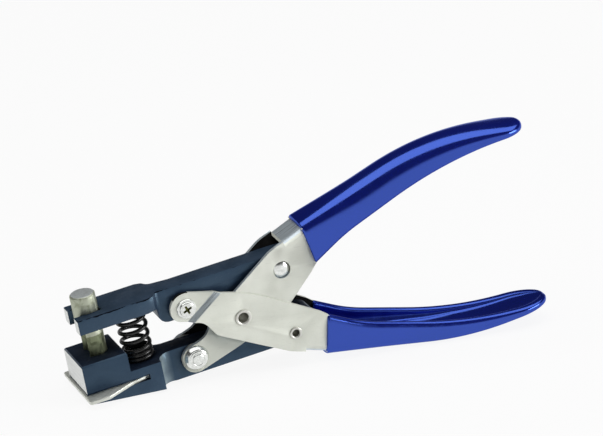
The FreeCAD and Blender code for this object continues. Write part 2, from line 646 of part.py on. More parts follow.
def draw_corner(sketch, end, face, sign, rounding):
    """What lies outside a rounded corner whose two sides end at x = end and y = face."""
    draw_outline(sketch, [
        (f"{end} - {rounding} * 1.5", f"{sign}({face})"),
        (f"{end} - {rounding} * 1.5", f"{sign}({face} + overcut)"),
        (f"{end} + overcut", f"{sign}({face} + overcut)"),
        (f"{end} + overcut", f"{sign}({face} - {rounding} * 1.3)"),
        (end, f"{sign}({face} - {rounding} * 1.3)"),
        (end, f"{sign}({face})", rounding),
    ])


def round_tip(body, end, face, rounding):
    """Round the two corners of a handle's end in the plan view."""
    plan = new_sketch(body, "tip", "XY_Plane", "main_z")
    for sign in ("", "-"):
        draw_corner(plan, f"(main_x + {end})", face, sign, rounding)
    return cut_pocket(body, plan, "2 * main_x")


def round_bends(body, side, face):
    """Round the two bends of the web where it shows ahead of the vinyl."""
    front = [("web_start", rise_between(side, "crown", "back", "web_start"))]
    centre = handle_points(side, front)[0]
    slope = value(f"atan(({side}_back_rise - {side}_crown_rise) / (back_run - crown_run))")
    if side == "upper":
        outward = 90 + slope + value("atan(upper_lift)")
    else:
        outward = -90 - slope
    bends = square_to(body, "bends", centre, outward)
    for sign in ("", "-"):
        draw_corner(bends, "0", face, sign, "bend_rounding")
    cut_pocket(body, bends, "bend_length", symmetric=False, backward=side == "upper")


upper_handle = new_body("upper_handle")
side_view = new_sketch(upper_handle, "side", "XZ_Plane")
draw_outline(side_view, handle_points("upper", plate_outline("upper")))
add_pad(upper_handle, side_view, f"2 * {UPPER_FACE}")
hollow = new_sketch(upper_handle, "hollow", "XZ_Plane")
draw_outline(hollow, handle_points("upper", [
    ("-main_x", "-main_x"),
    ("-main_x", "upper_bow_rise"),
    ("web_start", "upper_bow_rise"),
    *web_line("upper", "sheet")[:-1],
    (f"{end_run('upper')} + overcut", f"{end_rise('upper')} - sheet * 1.2"),
    (f"{end_run('upper')} + overcut", "-main_x"),
]))
cut_pocket(upper_handle, hollow, f"2 * {INNER_FACE}")
round_bends(upper_handle, "upper", UPPER_FACE)
round_tip(upper_handle, end_run("upper"), UPPER_FACE, "tip_rounding")
bores = new_sketch(upper_handle, "bores", "XZ_Plane")
draw_circle(bores, *LOWER_JAW_PIVOT, "pivot_diameter / 2")
draw_circle(bores, *MAIN, "pivot_diameter / 2 + pivot_clearance")
draw_circle(bores, *UPPER_SLIDE, "slide_pin_diameter / 2")
cut_pocket(upper_handle, bores, f"2 * {UPPER_FACE} + overcut")

lower_handle = new_body("lower_handle")
side_view = new_sketch(lower_handle, "side", "XZ_Plane")
draw_outline(side_view, handle_points("lower", plate_outline("lower")))
add_pad(lower_handle, side_view, f"2 * {LOWER_FACE}")


JOGGLE_END = "(joggle_start + joggle_run)"
steps = square_to(lower_handle, "steps", UPPER_JAW_PIVOT, value("joggle_slope") - 90)
for sign in ("", "-"):
    draw_outline(steps, [
        ("-link", f"{sign}{UPPER_FACE}"),
        ("joggle_start", f"{sign}{UPPER_FACE}"),
        (JOGGLE_END, f"{sign}{LOWER_FACE}"),
        (JOGGLE_END, f"{sign}({LOWER_FACE} + overcut)"),
        ("-link", f"{sign}({LOWER_FACE} + overcut)"),
    ])
cut_pocket(lower_handle, steps, "link * 4")
hollow = square_to(lower_handle, "hollow", UPPER_JAW_PIVOT, value("joggle_slope") - 90)
draw_outline(hollow, [
    ("-link", f"-{INNER_FACE}"),
    ("joggle_start", f"-{INNER_FACE}"),
    (JOGGLE_END, f"-{LOWER_INNER}"),
    ("link * 8", f"-{LOWER_INNER}"),
    ("link * 8", LOWER_INNER),
    (JOGGLE_END, LOWER_INNER),
    ("joggle_start", INNER_FACE),
    ("-link", INNER_FACE),
])
cut_pocket(lower_handle, hollow, "link * 16")
web = new_sketch(lower_handle, "web", "XZ_Plane")
outer_line = web_line("lower", "0")
inner_line = web_line("lower", "sheet")
draw_outline(web, handle_points("lower", outer_line + inner_line[::-1]))
add_pad(lower_handle, web, f"2 * {LOWER_INNER} + sheet")
round_bends(lower_handle, "lower", LOWER_FACE)
round_tip(lower_handle, end_run("lower"), LOWER_FACE, "tip_rounding")
bores = new_sketch(lower_handle, "bores", "XZ_Plane")
draw_circle(bores, *UPPER_JAW_PIVOT, "pivot_diameter / 2")
draw_circle(bores, *MAIN, "pivot_diameter / 2")
draw_circle(bores, *LOWER_SLIDE, "slide_rivet_diameter / 2")
cut_pocket(lower_handle, bores, f"2 * {LOWER_FACE} + overcut")


def grip_end(side):
    """Run of a vinyl sleeve's end."""
    return f"({end_run(side)} + grip_tip_length)"


def grip_outline(side):
    """Side view of a vinyl sleeve: the steel's outline thickened by the vinyl."""
    inner_front = ("step_rise + (grip_front_inner - step_run) * (grasp_rise - step_rise)"
                   " / (grasp_run - step_run) - vinyl * 1.12")
    outer_front = rise_between(side, "back", "bow", "grip_front_outer")
    return [
        ("grip_front_inner", inner_front),
        ("grasp_run + vinyl * 0.4", "grasp_rise - vinyl * 0.92", "grasp_rounding - vinyl"),
        (f"{PALM_RUN} + vinyl * 0.17", f"{palm_rise(side)} - vinyl", "palm_rounding - vinyl"),
        (grip_end(side), f"{end_rise(side)} - tip_thickness - vinyl"),
        (grip_end(side), f"{end_rise(side)} + vinyl * 0.7"),
        ("bow_run", f"{side}_bow_rise + vinyl * 1.02", f"{side}_bow_rounding + vinyl"),
        ("grip_front_outer", f"{outer_front} + vinyl * 1.03"),
    ]


def make_grip(side, face, inner, handle):
    """Vinyl dipped over the steel: outer form less the channel's inside and the steel."""
    form = new_body(f"{side}_grip_form")
    outline = new_sketch(form, "side", "XZ_Plane")
    draw_outline(outline, handle_points(side, grip_outline(side)))
    add_pad(form, outline, f"2 * ({face} + vinyl)")
    rounded = round_tip(form, grip_end(side), f"({face} + vinyl)", "grip_tip_rounding")
    dress(form, "Fillet", rounded, is_back_edge(side), "grip_rounding")
    hollow = new_sketch(form, "hollow", "XZ_Plane")
    depth = "(sheet + vinyl)"
    draw_outline(hollow, handle_points(side, [
        ("0", "-main_x"),
        ("0", f"{rise_between(side, 'back', 'bow', '0')} - {depth} * 1.04"),
        ("bow_run", f"{side}_bow_rise - {depth} * 1.01", f"{side}_bow_rounding - {depth}"),
        (f"{end_run(side)} - sheet", f"{end_rise(side)} - {depth}"),
        (f"{end_run(side)} - sheet", "-main_x"),
    ]))
    cut_pocket(form, hollow, f"2 * ({inner} - vinyl * 0.7)")
    grip = document.addObject("Part::Cut", f"{side}_grip")
    grip.Label = f"{side}_grip"
    grip.Base = form
    grip.Tool = handle
    return grip, form


def is_back_edge(side):
    """Test for the edges that run along the back of a grip and round its tip."""
    sign = 1 if side == "upper" else -1
    lift = value("upper_lift") if side == "upper" else 0
    corners = [(value(run), value(rise)) for run, rise, *rounding in grip_outline(side)]
    palm = corners[:4]
    back = corners[:3:-1]
    front = palm[0][0]
    tip = palm[-1][0]

    def height(line, run):
        for (left, low), (right, high) in zip(line, line[1:]):
            if run <= right:
                return low + (high - low) * (run - left) / (right - left)
        return line[-1][1]

    def test(edge):
        middle = edge.valueAt((edge.FirstParameter + edge.LastParameter) / 2)
        run = middle.x - value("main_x")
        rise = (middle.z - value("main_z")) * sign - lift * run
        crosses = edge.BoundBox.YLength > edge.Length * 0.9 and run < tip - 0.1
        upright = edge.BoundBox.ZLength > edge.Length * 0.9
        if run < front or crosses or upright:
            return False
        return rise > (height(back, run) + height(palm, run)) / 2
    return test


upper_grip, upper_form = make_grip("upper", UPPER_FACE, INNER_FACE, upper_handle)
lower_grip, lower_form = make_grip("lower", LOWER_FACE, LOWER_INNER, lower_handle)

# ---------------------------------------------------------------- pins, rivets and washers
PIVOT = "pivot_diameter / 2"
WASHER = ("pivot_diameter / 2 + pivot_clearance", "washer_diameter / 2",
          f"{ARM_HALF} + side_clearance", f"{ARM_HALF} + side_clearance + washer_thickness")
FAR_WASHER = (*WASHER[:2], f"-({WASHER[2]})", f"-({WASHER[3]})")

upper_jaw_washers = new_body("upper_jaw_washers")
upper_jaw_washers.AllowCompound = True
revolve(upper_jaw_washers, [ring(*WASHER), ring(*FAR_WASHER)])
lower_jaw_washers = new_body("lower_jaw_washers")
lower_jaw_washers.AllowCompound = True
revolve(lower_jaw_washers, [ring(*WASHER), ring(*FAR_WASHER)])
upper_slide_washers = new_body("upper_slide_washers")
upper_slide_washers.AllowCompound = True
SLIDE_BORE = "slide_pin_diameter / 2 + slide_clearance"
revolve(upper_slide_washers, [ring(SLIDE_BORE, "slide_washer_diameter / 2", *WASHER[2:]),
                              ring(SLIDE_BORE, "slide_washer_diameter / 2", *FAR_WASHER[2:])])



def rim(radius, seat, end, bevel):
    """The outside of a head from its seat to its bevelled end, as (radius, along)."""
    return [(radius, seat), (radius, f"({end} - {bevel})"), (f"({radius} - {bevel})", end)]


def far(points):
    """The same corners on the tool's other side, in the order that goes round."""
    return [(radius, f"-({along})") for radius, along in reversed(points)]


upper_jaw_nut = new_body("upper_jaw_nut")
NUT_END = f"({UPPER_FACE} + jaw_screw_head_height)"
NUT_FOOT = f"({UPPER_FACE} - side_clearance)"
HEAD = rim("jaw_screw_head / 2", UPPER_FACE, NUT_END, "jaw_screw_bevel")
revolve(upper_jaw_nut, [
    ("jaw_nut_bore / 2", f"-{NUT_FOOT}"),
    (PIVOT, f"-{NUT_FOOT}"),
    (PIVOT, UPPER_FACE),
    *HEAD,
    ("0", NUT_END),
    ("0", UPPER_FACE),
    ("jaw_nut_bore / 2", UPPER_FACE),
])
upper_jaw_screw = new_body("upper_jaw_screw")
revolve(upper_jaw_screw, [
    ("0", f"-{NUT_END}"),
    *far(HEAD),
    ("jaw_screw_core / 2", f"-{UPPER_FACE}"),
    ("jaw_screw_core / 2", f"{UPPER_FACE} - jaw_nut_wall"),
    ("0", f"{UPPER_FACE} - jaw_nut_wall"),
])

lower_jaw_rivet = new_body("lower_jaw_rivet")
COLLAR_END = f"({UPPER_FACE} + collar_height)"
PEENED_END = f"({COLLAR_END} + peened_height)"
HEAD = rim("peened_diameter / 2", COLLAR_END, PEENED_END, "peened_bevel")
revolve(lower_jaw_rivet, [
    ("0", f"-{PEENED_END}"),
    *far(HEAD),
    (PIVOT, f"-{COLLAR_END}"),
    (PIVOT, COLLAR_END),
    *HEAD,
    ("0", PEENED_END),
])
lower_jaw_collars = new_body("lower_jaw_collars")
lower_jaw_collars.AllowCompound = True
COLLAR = [(PIVOT, UPPER_FACE), *rim("collar_diameter / 2", UPPER_FACE, COLLAR_END, "collar_bevel"),
          (PIVOT, COLLAR_END)]
revolve(lower_jaw_collars, [COLLAR, far(COLLAR)])

main_pivot_rivet = new_body("main_pivot_rivet")
MAIN_END = f"({LOWER_FACE} + rivet_head_height)"
HEAD = rim("main_head / 2", LOWER_FACE, MAIN_END, "rivet_bevel")
revolve(main_pivot_rivet, [
    ("main_bore / 2", f"-{MAIN_END}"),
    *far(HEAD),
    (PIVOT, f"-{LOWER_FACE}"),
    (PIVOT, LOWER_FACE),
    *HEAD,
    ("main_bore / 2", MAIN_END),
])

upper_slide_pin = new_body("upper_slide_pin")
PIN_END = f"({UPPER_FACE} - slide_pin_inset)"
PIN = rim("slide_pin_diameter / 2", "0", PIN_END, "slide_pin_bevel")[1:]
revolve(upper_slide_pin, [("0", f"-{PIN_END}"), *far(PIN), *PIN, ("0", PIN_END)])

lower_slide_roller = new_body("lower_slide_roller")
ROLLER_END = f"({LOWER_INNER} - plate_gap)"
revolve(lower_slide_roller, ring("roller_bore / 2", "roller_diameter / 2", f"-{ROLLER_END}",
                                 ROLLER_END))
lower_slide_rivet = new_body("lower_slide_rivet")
HEAD = rim("slide_rivet_head / 2", LOWER_FACE, MAIN_END, "rivet_bevel")
revolve(lower_slide_rivet, [
    ("slide_rivet_bore / 2", f"-{MAIN_END}"),
    *far(HEAD),
    ("slide_rivet_diameter / 2", f"-{LOWER_FACE}"),
    ("slide_rivet_diameter / 2", LOWER_FACE),
    *HEAD,
    ("slide_rivet_bore / 2", MAIN_END),
])

# ---------------------------------------------------------------- standing pose
belly = handle_points("lower", [("bow_run", "lower_bow_rise")])[0]
back = handle_points("lower", [("back_run", "lower_back_rise")])[0]
end = handle_points("lower", [(end_run("lower"), end_rise("lower"))])[0]


def belly_centre():
    """Centre of the lower steel's bow, from the two straight lines that it rounds."""
    corner = Vector(value(belly[0]), value(belly[1]), 0)
    before = (Vector(value(back[0]), value(back[1]), 0) - corner).normalize()
    after = (Vector(value(end[0]), value(end[1]), 0) - corner).normalize()
    half = before.getAngle(after) / 2
    return corner + (before + after).normalize() * (value("lower_bow_rounding") / math.sin(half))


centre = belly_centre()
foot = Vector(value("base_front"), value("base_front_bottom"), 0)
reach = centre - foot
tilt = math.atan2(reach.y, reach.x) - math.asin(value("lower_bow_rounding + vinyl") / reach.Length)
stand = Placement(Vector(0, 0, 0), Rotation(Vector(0, 1, 0), math.degrees(tilt)))

in_tool_frame = [lower_jaw, guide_plate, card_stop, guide_plate_screws, return_spring,
                 upper_jaw, punch, upper_handle, lower_handle, upper_form, lower_form]
on_pivots = [
    (upper_jaw_washers, UPPER_JAW_PIVOT), (upper_jaw_nut, UPPER_JAW_PIVOT),
    (upper_jaw_screw, UPPER_JAW_PIVOT), (lower_jaw_washers, LOWER_JAW_PIVOT),
    (lower_jaw_rivet, LOWER_JAW_PIVOT), (lower_jaw_collars, LOWER_JAW_PIVOT),
    (main_pivot_rivet, MAIN), (upper_slide_pin, UPPER_SLIDE),
    (upper_slide_washers, UPPER_SLIDE), (lower_slide_roller, LOWER_SLIDE),
    (lower_slide_rivet, LOWER_SLIDE),
]
sub_parts = in_tool_frame[:-2] + [upper_grip, lower_grip] + [body for body, pivot in on_pivots]


def place_all(base):
    """Stand every piece up and move it by base."""
    standing = Placement(base, stand.Rotation)
    spring_spot = Placement(Vector(value("spring_x"), 0, 0), Rotation())
    for piece in in_tool_frame:
        piece.Placement = standing
    return_spring.Placement = standing.multiply(spring_spot)
    for piece, pivot in on_pivots:
        spot = Placement(Vector(value(pivot[0]), 0, value(pivot[1])), Rotation())
        piece.Placement = standing.multiply(spot)
    document.recompute()


place_all(Vector(0, 0, 0))
faults = [f"{item.Name} {item.State}" for item in document.Objects
          if "Invalid" in item.State or "Error" in item.State]
faults += [f"{piece.Label} has no valid shape" for piece in sub_parts
           if piece.Shape.isNull() or not piece.Shape.isValid()]
if faults:
    raise RuntimeError("\n".join(faults))
box = FreeCAD.BoundBox()
for piece in sub_parts:
    box.add(piece.Shape.optimalBoundingBox(False, False))
place_all(Vector(-box.Center.x, -box.Center.y, -box.ZMin))

# ---------------------------------------------------------------- files
os.makedirs("parts", exist_ok=True)
for piece in sub_parts:
    piece.Shape.exportStep(os.path.join("parts", f"{piece.Label}.step"))
    print(piece.Label, len(piece.Shape.Solids), "solid,", round(piece.Shape.Volume, 2), "mm3")
print("box", box.XLength, box.YLength, box.ZLength, "tilt", math.degrees(tilt))
for name, text in (("stroke", STROKE), ("slide travel", SLIDE_TRAVEL), ("hub drop", HUB_DROP)):
    print(name, round(value(text), 3))
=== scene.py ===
# %% [markdown]
# # A hand-held corner rounder for plastic cards
#
# The tool is a pair of compound pliers: two steel jaws, four pivots, two pressed steel handles
# with dipped vinyl grips, a return spring and a punch that rounds off one corner of a card.
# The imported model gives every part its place. This file dresses it: where a plain solid is
# already right it only gets a finish, and where the real part is softer it gets a new mesh.

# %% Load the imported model
import bmesh
import bpy
import json
import math
from mathutils import Matrix, Vector


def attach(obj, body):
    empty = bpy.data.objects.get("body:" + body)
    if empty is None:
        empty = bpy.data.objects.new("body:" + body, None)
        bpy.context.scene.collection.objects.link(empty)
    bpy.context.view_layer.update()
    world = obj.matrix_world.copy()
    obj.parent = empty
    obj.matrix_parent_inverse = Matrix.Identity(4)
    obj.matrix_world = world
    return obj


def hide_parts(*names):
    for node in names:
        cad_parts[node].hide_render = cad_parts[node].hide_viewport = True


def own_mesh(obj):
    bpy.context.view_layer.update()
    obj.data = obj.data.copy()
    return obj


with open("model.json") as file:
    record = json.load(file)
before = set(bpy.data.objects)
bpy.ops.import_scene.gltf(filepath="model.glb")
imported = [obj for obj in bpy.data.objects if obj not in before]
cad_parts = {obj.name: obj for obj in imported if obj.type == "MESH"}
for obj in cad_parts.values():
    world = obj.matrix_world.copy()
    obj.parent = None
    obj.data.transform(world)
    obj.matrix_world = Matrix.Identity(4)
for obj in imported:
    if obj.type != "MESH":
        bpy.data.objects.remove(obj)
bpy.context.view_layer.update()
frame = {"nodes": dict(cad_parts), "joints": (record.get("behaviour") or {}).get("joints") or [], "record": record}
bodies = frame["record"]["behaviour"]["bodies"]
body_of = {node: body for body, members in bodies.items() for node in members}

# %% [markdown]
# ## The tool's own frame
#
# The pliers rest on the nose of the lower jaw and on the belly of the lower grip, so the whole
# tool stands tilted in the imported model. Its sizes are easier to think of level: along the tool,
# across it, and up the stroke of the punch, in millimetres. The main pivot and the direction to
# the lower jaw's pivot are known in both frames, and they give the one matrix that takes level
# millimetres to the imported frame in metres.

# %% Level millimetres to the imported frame
MAIN_PIVOT = Vector((61.0, 0.0, 10.3))
FRONT_ANGLE = math.radians(26.5)  # of the line from the lower jaw's pivot to the main pivot
places = {joint["name"]: Vector(joint["pos_m"]) for joint in frame["joints"]}
packed_link = places["main_pivot"] - places["lower_jaw_pivot"]
TILT = math.atan2(packed_link.z, packed_link.x) - FRONT_ANGLE
turned = Matrix.Rotation(-TILT, 4, "Y") @ Matrix.Scale(0.001, 4)
level_to_row = Matrix.Translation(places["main_pivot"] - turned @ MAIN_PIVOT) @ turned
row_to_level = level_to_row.inverted()


def level_box(node):
    """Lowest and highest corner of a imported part, in level millimetres."""
    points = [row_to_level @ v.co for v in frame["nodes"][node].data.vertices]
    low = Vector([min(p[i] for p in points) for i in range(3)])
    high = Vector([max(p[i] for p in points) for i in range(3)])
    return low, high


def placed(name, data):
    """A new object in the scene that holds the data."""
    thing = bpy.data.objects.new(name, data)
    bpy.context.scene.collection.objects.link(thing)
    return thing


print("tilt", round(math.degrees(TILT), 3))
for name in ("lower_jaw", "return_spring", "upper_grip"):
    print(name, [tuple(round(c, 2) for c in corner) for corner in level_box(name)])

# %% [markdown]
# ## The camera
#
# The tool is looked down on from its left side and a little from the front, with a long lens, so
# that near and far parts keep nearly the same scale. Where it stands, what it aims at and its
# slight roll are given in level millimetres.

# %% Camera
STAND = Vector((-308.437, -1309.877, 632.886))
TARGET = Vector((93.136, 6.04, 33.309))
SKYWARD = Vector((0.30008, 0.31817, 0.89929))
LENS, SENSOR = 254.65, 36.0

eye, aim = level_to_row @ STAND, level_to_row @ TARGET
up = (level_to_row.to_3x3() @ SKYWARD).normalized()
back = (eye - aim).normalized()
right = up.cross(back).normalized()
up = back.cross(right)

camera_data = bpy.data.cameras.new("camera")
camera_data.lens = LENS
camera_data.sensor_width = SENSOR
camera_data.clip_start = 0.05
camera = placed("camera", camera_data)
camera.matrix_world = Matrix.Translation(eye) @ Matrix((right, up, back)).transposed().to_4x4()
bpy.context.scene.camera = camera
print("camera", tuple(round(c, 3) for c in eye))

# %% [markdown]
# ## Finishes
#
# Each finish is a small node tree on Object coordinates, in metres, so that grain, scratches and
# wear keep their real size. One helper adds a node to any tree, Geometry Nodes included, and
# another starts a material.

# %% Helpers for materials
def joined(tree, node_type, links, **settings):
    """A node with its settings, and its inputs linked or set by position or name."""
    node = tree.nodes.new(node_type)
    for key, setting in settings.items():
        setattr(node, key, setting)
    for socket, source in links.items():
        if hasattr(source, "is_output"):
            tree.links.new(source, node.inputs[socket])
        else:
            node.inputs[socket].default_value = source
    return node


def new_finish(name, colour, roughness, metallic=0.0):
    """A material with one Principled shader; gives the tree, the shader and object coordinates.
    The plain colour and roughness stand in where a viewer can't read the tree."""
    finish = bpy.data.materials.new(name)
    finish.use_nodes = True
    tree = finish.node_tree
    shader = tree.nodes["Principled BSDF"]
    shader.inputs["Base Color"].default_value = (*colour, 1)
    shader.inputs["Roughness"].default_value = roughness
    shader.inputs["Metallic"].default_value = metallic
    place = tree.nodes.new("ShaderNodeTexCoord").outputs["Object"]
    return finish, tree, shader, place


def glossy(shader, ior, level, tint):
    """Set how strongly and in which colour a coated surface mirrors."""
    shader.inputs["IOR"].default_value = ior
    shader.inputs["Specular IOR Level"].default_value = level
    shader.inputs["Specular Tint"].default_value = (*tint, 1)


def level_millimetres(tree, place):
    """Object coordinates turned into the tool's own level millimetres."""
    level = joined(tree, "ShaderNodeMapping", {
        "Vector": place, "Location": row_to_level.translation, "Rotation": (0, TILT, 0),
        "Scale": (1000, 1000, 1000)})
    return joined(tree, "ShaderNodeSeparateXYZ", {0: level.outputs[0]}).outputs


def stretched(tree, place, scale):
    """Coordinates scaled by given factors, for grain that runs one way."""
    return joined(tree, "ShaderNodeMapping", {
        "Vector": place, "Rotation": (0, TILT, 0), "Scale": scale}).outputs[0]


def noise(tree, place, scale, detail=3.0, distortion=0.0):
    """Cloudy values around a half; the scale is in clouds per metre."""
    return joined(tree, "ShaderNodeTexNoise", {
        "Vector": place, "Scale": scale, "Detail": detail, "Distortion": distortion}).outputs[0]


def ramp(tree, value, low, high, start=0.3, end=0.7):
    """A colour that runs from low to high as the value goes from start to end."""
    node = tree.nodes.new("ShaderNodeValToRGB")
    for element, position, colour in zip(node.color_ramp.elements, (start, end), (low, high)):
        element.position = position
        element.color = (*colour, 1)
    tree.links.new(value, node.inputs["Fac"])
    return node.outputs["Color"]


def span(tree, value, low, high, start=0.3, end=0.7):
    """A value between start and end mapped to low to high."""
    return joined(tree, "ShaderNodeMapRange", {
        "Value": value, "From Min": start, "From Max": end, "To Min": low,
        "To Max": high}).outputs[0]


def blend(tree, share, first, second):
    """Two colours mixed by a share; each is a socket or a plain colour."""
    node = tree.nodes.new("ShaderNodeMix")
    node.data_type = "RGBA"
    tree.links.new(share, node.inputs["Factor"])
    for side, colour in (("A", first), ("B", second)):
        socket = next(s for s in node.inputs if s.name == side and s.type == "RGBA")
        if hasattr(colour, "links"):
            tree.links.new(colour, socket)
        else:
            socket.default_value = (*colour, 1)
    return next(s for s in node.outputs if s.type == "RGBA")


def bump(tree, shader, height, strength, distance):
    """Relief from a height; the distance is in metres."""
    relief = joined(tree, "ShaderNodeBump", {
        "Height": height, "Strength": strength, "Distance": distance})
    tree.links.new(relief.outputs["Normal"], shader.inputs["Normal"])


def maths(tree, operation, first, second=0.0):
    """The result of one sum, in a shader tree or a geometry tree."""
    node = joined(tree, "ShaderNodeMath", {0: first, 1: second}, operation=operation)
    return node.outputs[0]


def paint(tree, shader, colour, roughness):
    tree.links.new(colour, shader.inputs["Base Color"])
    tree.links.new(roughness, shader.inputs["Roughness"])


def product(tree, first, second):
    return maths(tree, "MULTIPLY", first, second)


# %% [markdown]
# ### Zinc-plated sheet
#
# The handles are pressed from sheet and then plated, which leaves a pale, slightly warm and
# cloudy metal. Fine scratches lie along the tool. They are a noise squeezed across its length,
# where only the rare peaks count.

# %% Zinc-plated sheet
def zinc_sheet():
    finish, tree, shader, place = new_finish("zinc_plate", (0.76, 0.77, 0.70), 0.42, 0.35)
    cloud = noise(tree, place, 70.0, 5.0)
    colour = ramp(tree, cloud, (0.69, 0.71, 0.63), (0.82, 0.84, 0.76))
    rub = noise(tree, stretched(tree, place, (260, 2200, 3800)), 1.0, 2.0)
    scratch = span(tree, rub, 0.0, 0.35, 0.66, 0.72)
    paint(tree, shader, blend(tree, scratch, colour, (0.55, 0.56, 0.51)),
          span(tree, noise(tree, place, 300.0), 0.34, 0.52))
    bump(tree, shader, noise(tree, place, 1300.0), 0.12, 0.0002)
    return finish


ZINC = zinc_sheet()

# %% [markdown]
# ### Blue-black enamel
#
# The jaws are dipped in a thin dark enamel. It is nearly black face on, and only its satin gloss
# makes the sides look blue-grey. It pools a little, so its surface is wavy at about a
# millimetre, and dust gives it fine pits.

# %% Blue-black enamel
# level millimetres: the height of the prongs' upper edge, the two ends of the waist of the
# lower jaw, and the height of its arm
JAW_TOP, BLOCK_REAR, WAIST_REAR, ARM_TOP = 28.6, 28.1, 33.5, 7.0


def jaw_enamel():
    finish, tree, shader, place = new_finish("jaw_enamel", (0.014, 0.028, 0.06), 0.36)
    glossy(shader, 1.6, 0.55, (0.50, 0.78, 1.0))
    cloud = noise(tree, place, 110.0, 5.0)
    colour = ramp(tree, cloud, (0.010, 0.022, 0.050), (0.021, 0.039, 0.074))
    speck = span(tree, noise(tree, place, 2600.0, 1.0), 0.0, 0.4, 0.70, 0.76)
    colour = blend(tree, speck, colour, (0.09, 0.11, 0.13))
    run, _, height = level_millimetres(tree, place)
    # a painted highlight: a light patch in the waist of the lower jaw, where its concave turn would catch the
    # light
    painted_highlight = product(tree, span(tree, run, 0.0, 1.0, BLOCK_REAR, BLOCK_REAR + 0.8),
                     span(tree, run, 1.0, 0.0, BLOCK_REAR + 1.6, WAIST_REAR))
    painted_highlight = product(tree, painted_highlight, span(tree, height, 1.0, 0.0, ARM_TOP - 1, ARM_TOP))
    painted_highlight = product(tree, painted_highlight, span(tree, noise(tree, place, 160.0, 4.0), 0.25, 0.9))
    colour = blend(tree, painted_highlight, colour, (0.36, 0.45, 0.47))
    # and a painted shade: a ragged dark line along the sharp upper edge of the prongs
    wander = span(tree, noise(tree, place, 330.0, 4.0), -0.1, 0.75)
    ragged = maths(tree, "ADD", height, wander)
    edge = product(tree, span(tree, ragged, 0.0, 1.0, JAW_TOP - 0.1, JAW_TOP),
                   span(tree, height, 1.0, 0.0, JAW_TOP + 0.1, JAW_TOP + 0.3))
    colour = blend(tree, edge, colour, (0.003, 0.004, 0.007))
    paint(tree, shader, colour, span(tree, noise(tree, place, 500.0), 0.3, 0.46))
    # the line is also made metallic, so it stays black without any reflection
    tree.links.new(edge, shader.inputs["Metallic"])
    bump(tree, shader, noise(tree, place, 900.0, 4.0), 0.25, 0.0002)
    return finish


def painted_top_enamel(name, low, high):
    """A less glossy copy of the enamel for the tops of the jaws; its colours are painted shade on the block and
    painted light on the prongs.
    """
    finish, tree, shader, place = new_finish(name, low, 0.6)
    glossy(shader, 1.45, 0.15, (0.6, 0.75, 1.0))
    colour = ramp(tree, noise(tree, place, 150.0, 5.0), low, high)
    paint(tree, shader, colour, span(tree, noise(tree, place, 500.0), 0.5, 0.7))
    bump(tree, shader, noise(tree, place, 900.0, 4.0), 0.3, 0.0002)
    return finish


ENAMEL = jaw_enamel()
# copies of the enamel for the tops: painted shade on the block, painted light on the prongs
SHADED_TOPS = painted_top_enamel("painted_top_enamel", (0.006, 0.011, 0.024), (0.014, 0.023, 0.042))
LIT_TOPS = painted_top_enamel("painted_light_top_enamel", (0.020, 0.036, 0.060), (0.034, 0.056, 0.090))

# %% [markdown]
# ### Dipped vinyl
#
# The grips are dipped in royal blue vinyl, which cures with a high gloss. A shallow, slow bump
# keeps its long highlights from looking like glass.

# %% Dipped vinyl
def blue_vinyl():
    finish, tree, shader, place = new_finish("blue_vinyl", (0.002, 0.005, 0.11), 0.14)
    glossy(shader, 3.0, 0.68, (0.13, 0.25, 1.0))
    cloud = noise(tree, place, 50.0)
    colour = ramp(tree, cloud, (0.001, 0.0015, 0.12), (0.0015, 0.003, 0.16))
    paint(tree, shader, colour, span(tree, noise(tree, place, 260.0), 0.12, 0.2))
    bump(tree, shader, noise(tree, place, 160.0, 1.0), 0.05, 0.0006)
    return finish


VINYL = blue_vinyl()

# %% [markdown]
# ### Bare steels
#
# Turned heads are bright, the guide plate is rolled and brushed, and the punch is ground and
# stained. Darker copies paint the shade on the punch's lower part and in the screw's cross recess,
# and a bluish copy paints the light on the handles' bends. One function makes them all, from a
# colour, a roughness and the way the grain runs.

# %% Bare steels
DULLED = 0.78  # how bright a steel is between its grain lines


def bare_steel(name, colour, roughness, grain, stain=0.0, stain_colour=(0.1, 0.1, 0.08),
               metallic=1.0, relief=0.15):
    finish, tree, shader, place = new_finish(name, colour, roughness, metallic)
    lines = noise(tree, stretched(tree, place, grain), 1.0, 4.0)
    dull = tuple(DULLED * part for part in colour)
    tone = ramp(tree, lines, dull, colour)
    if stain:
        patch = span(tree, noise(tree, place, 420.0, 4.0, 0.6), 0.0, stain, 0.5, 0.66)
        tone = blend(tree, patch, tone, stain_colour)
    paint(tree, shader, tone, span(tree, lines, roughness * 0.8, roughness * 1.25))
    bump(tree, shader, lines, relief, 0.0001)
    return finish


BRIGHT = bare_steel("bright_steel", (0.86, 0.88, 0.85), 0.22, (900, 900, 900), relief=0.03)
# painted shade for the faces inside the screw's cross recess
RECESS_SHADE = bare_steel("painted_recess_shade", (0.20, 0.21, 0.07), 0.5, (900, 900, 900))
# a bluish copy of the zinc for the bent web and the joggles, whose tone paints the light these turned faces catch
BEND_LIGHT = bare_steel("painted_bend_light", (0.66, 0.74, 0.79), 0.3, (90, 2600, 90), metallic=0.6,
                  relief=0.05)
PLATED = bare_steel("plated_steel", (0.72, 0.72, 0.67), 0.35, (700, 700, 700))
ROLLED = bare_steel("rolled_steel", (0.80, 0.82, 0.75), 0.36, (90, 2600, 2600), 0.25,
                    (0.50, 0.53, 0.46), 0.55)
GROUND = bare_steel("ground_steel", (0.92, 0.94, 0.92), 0.5, (2600, 120, 2600), metallic=0.6)
TOOL = bare_steel("tool_steel", (0.52, 0.55, 0.44), 0.5, (1800, 1800, 240), 0.6,
                  (0.22, 0.24, 0.16))
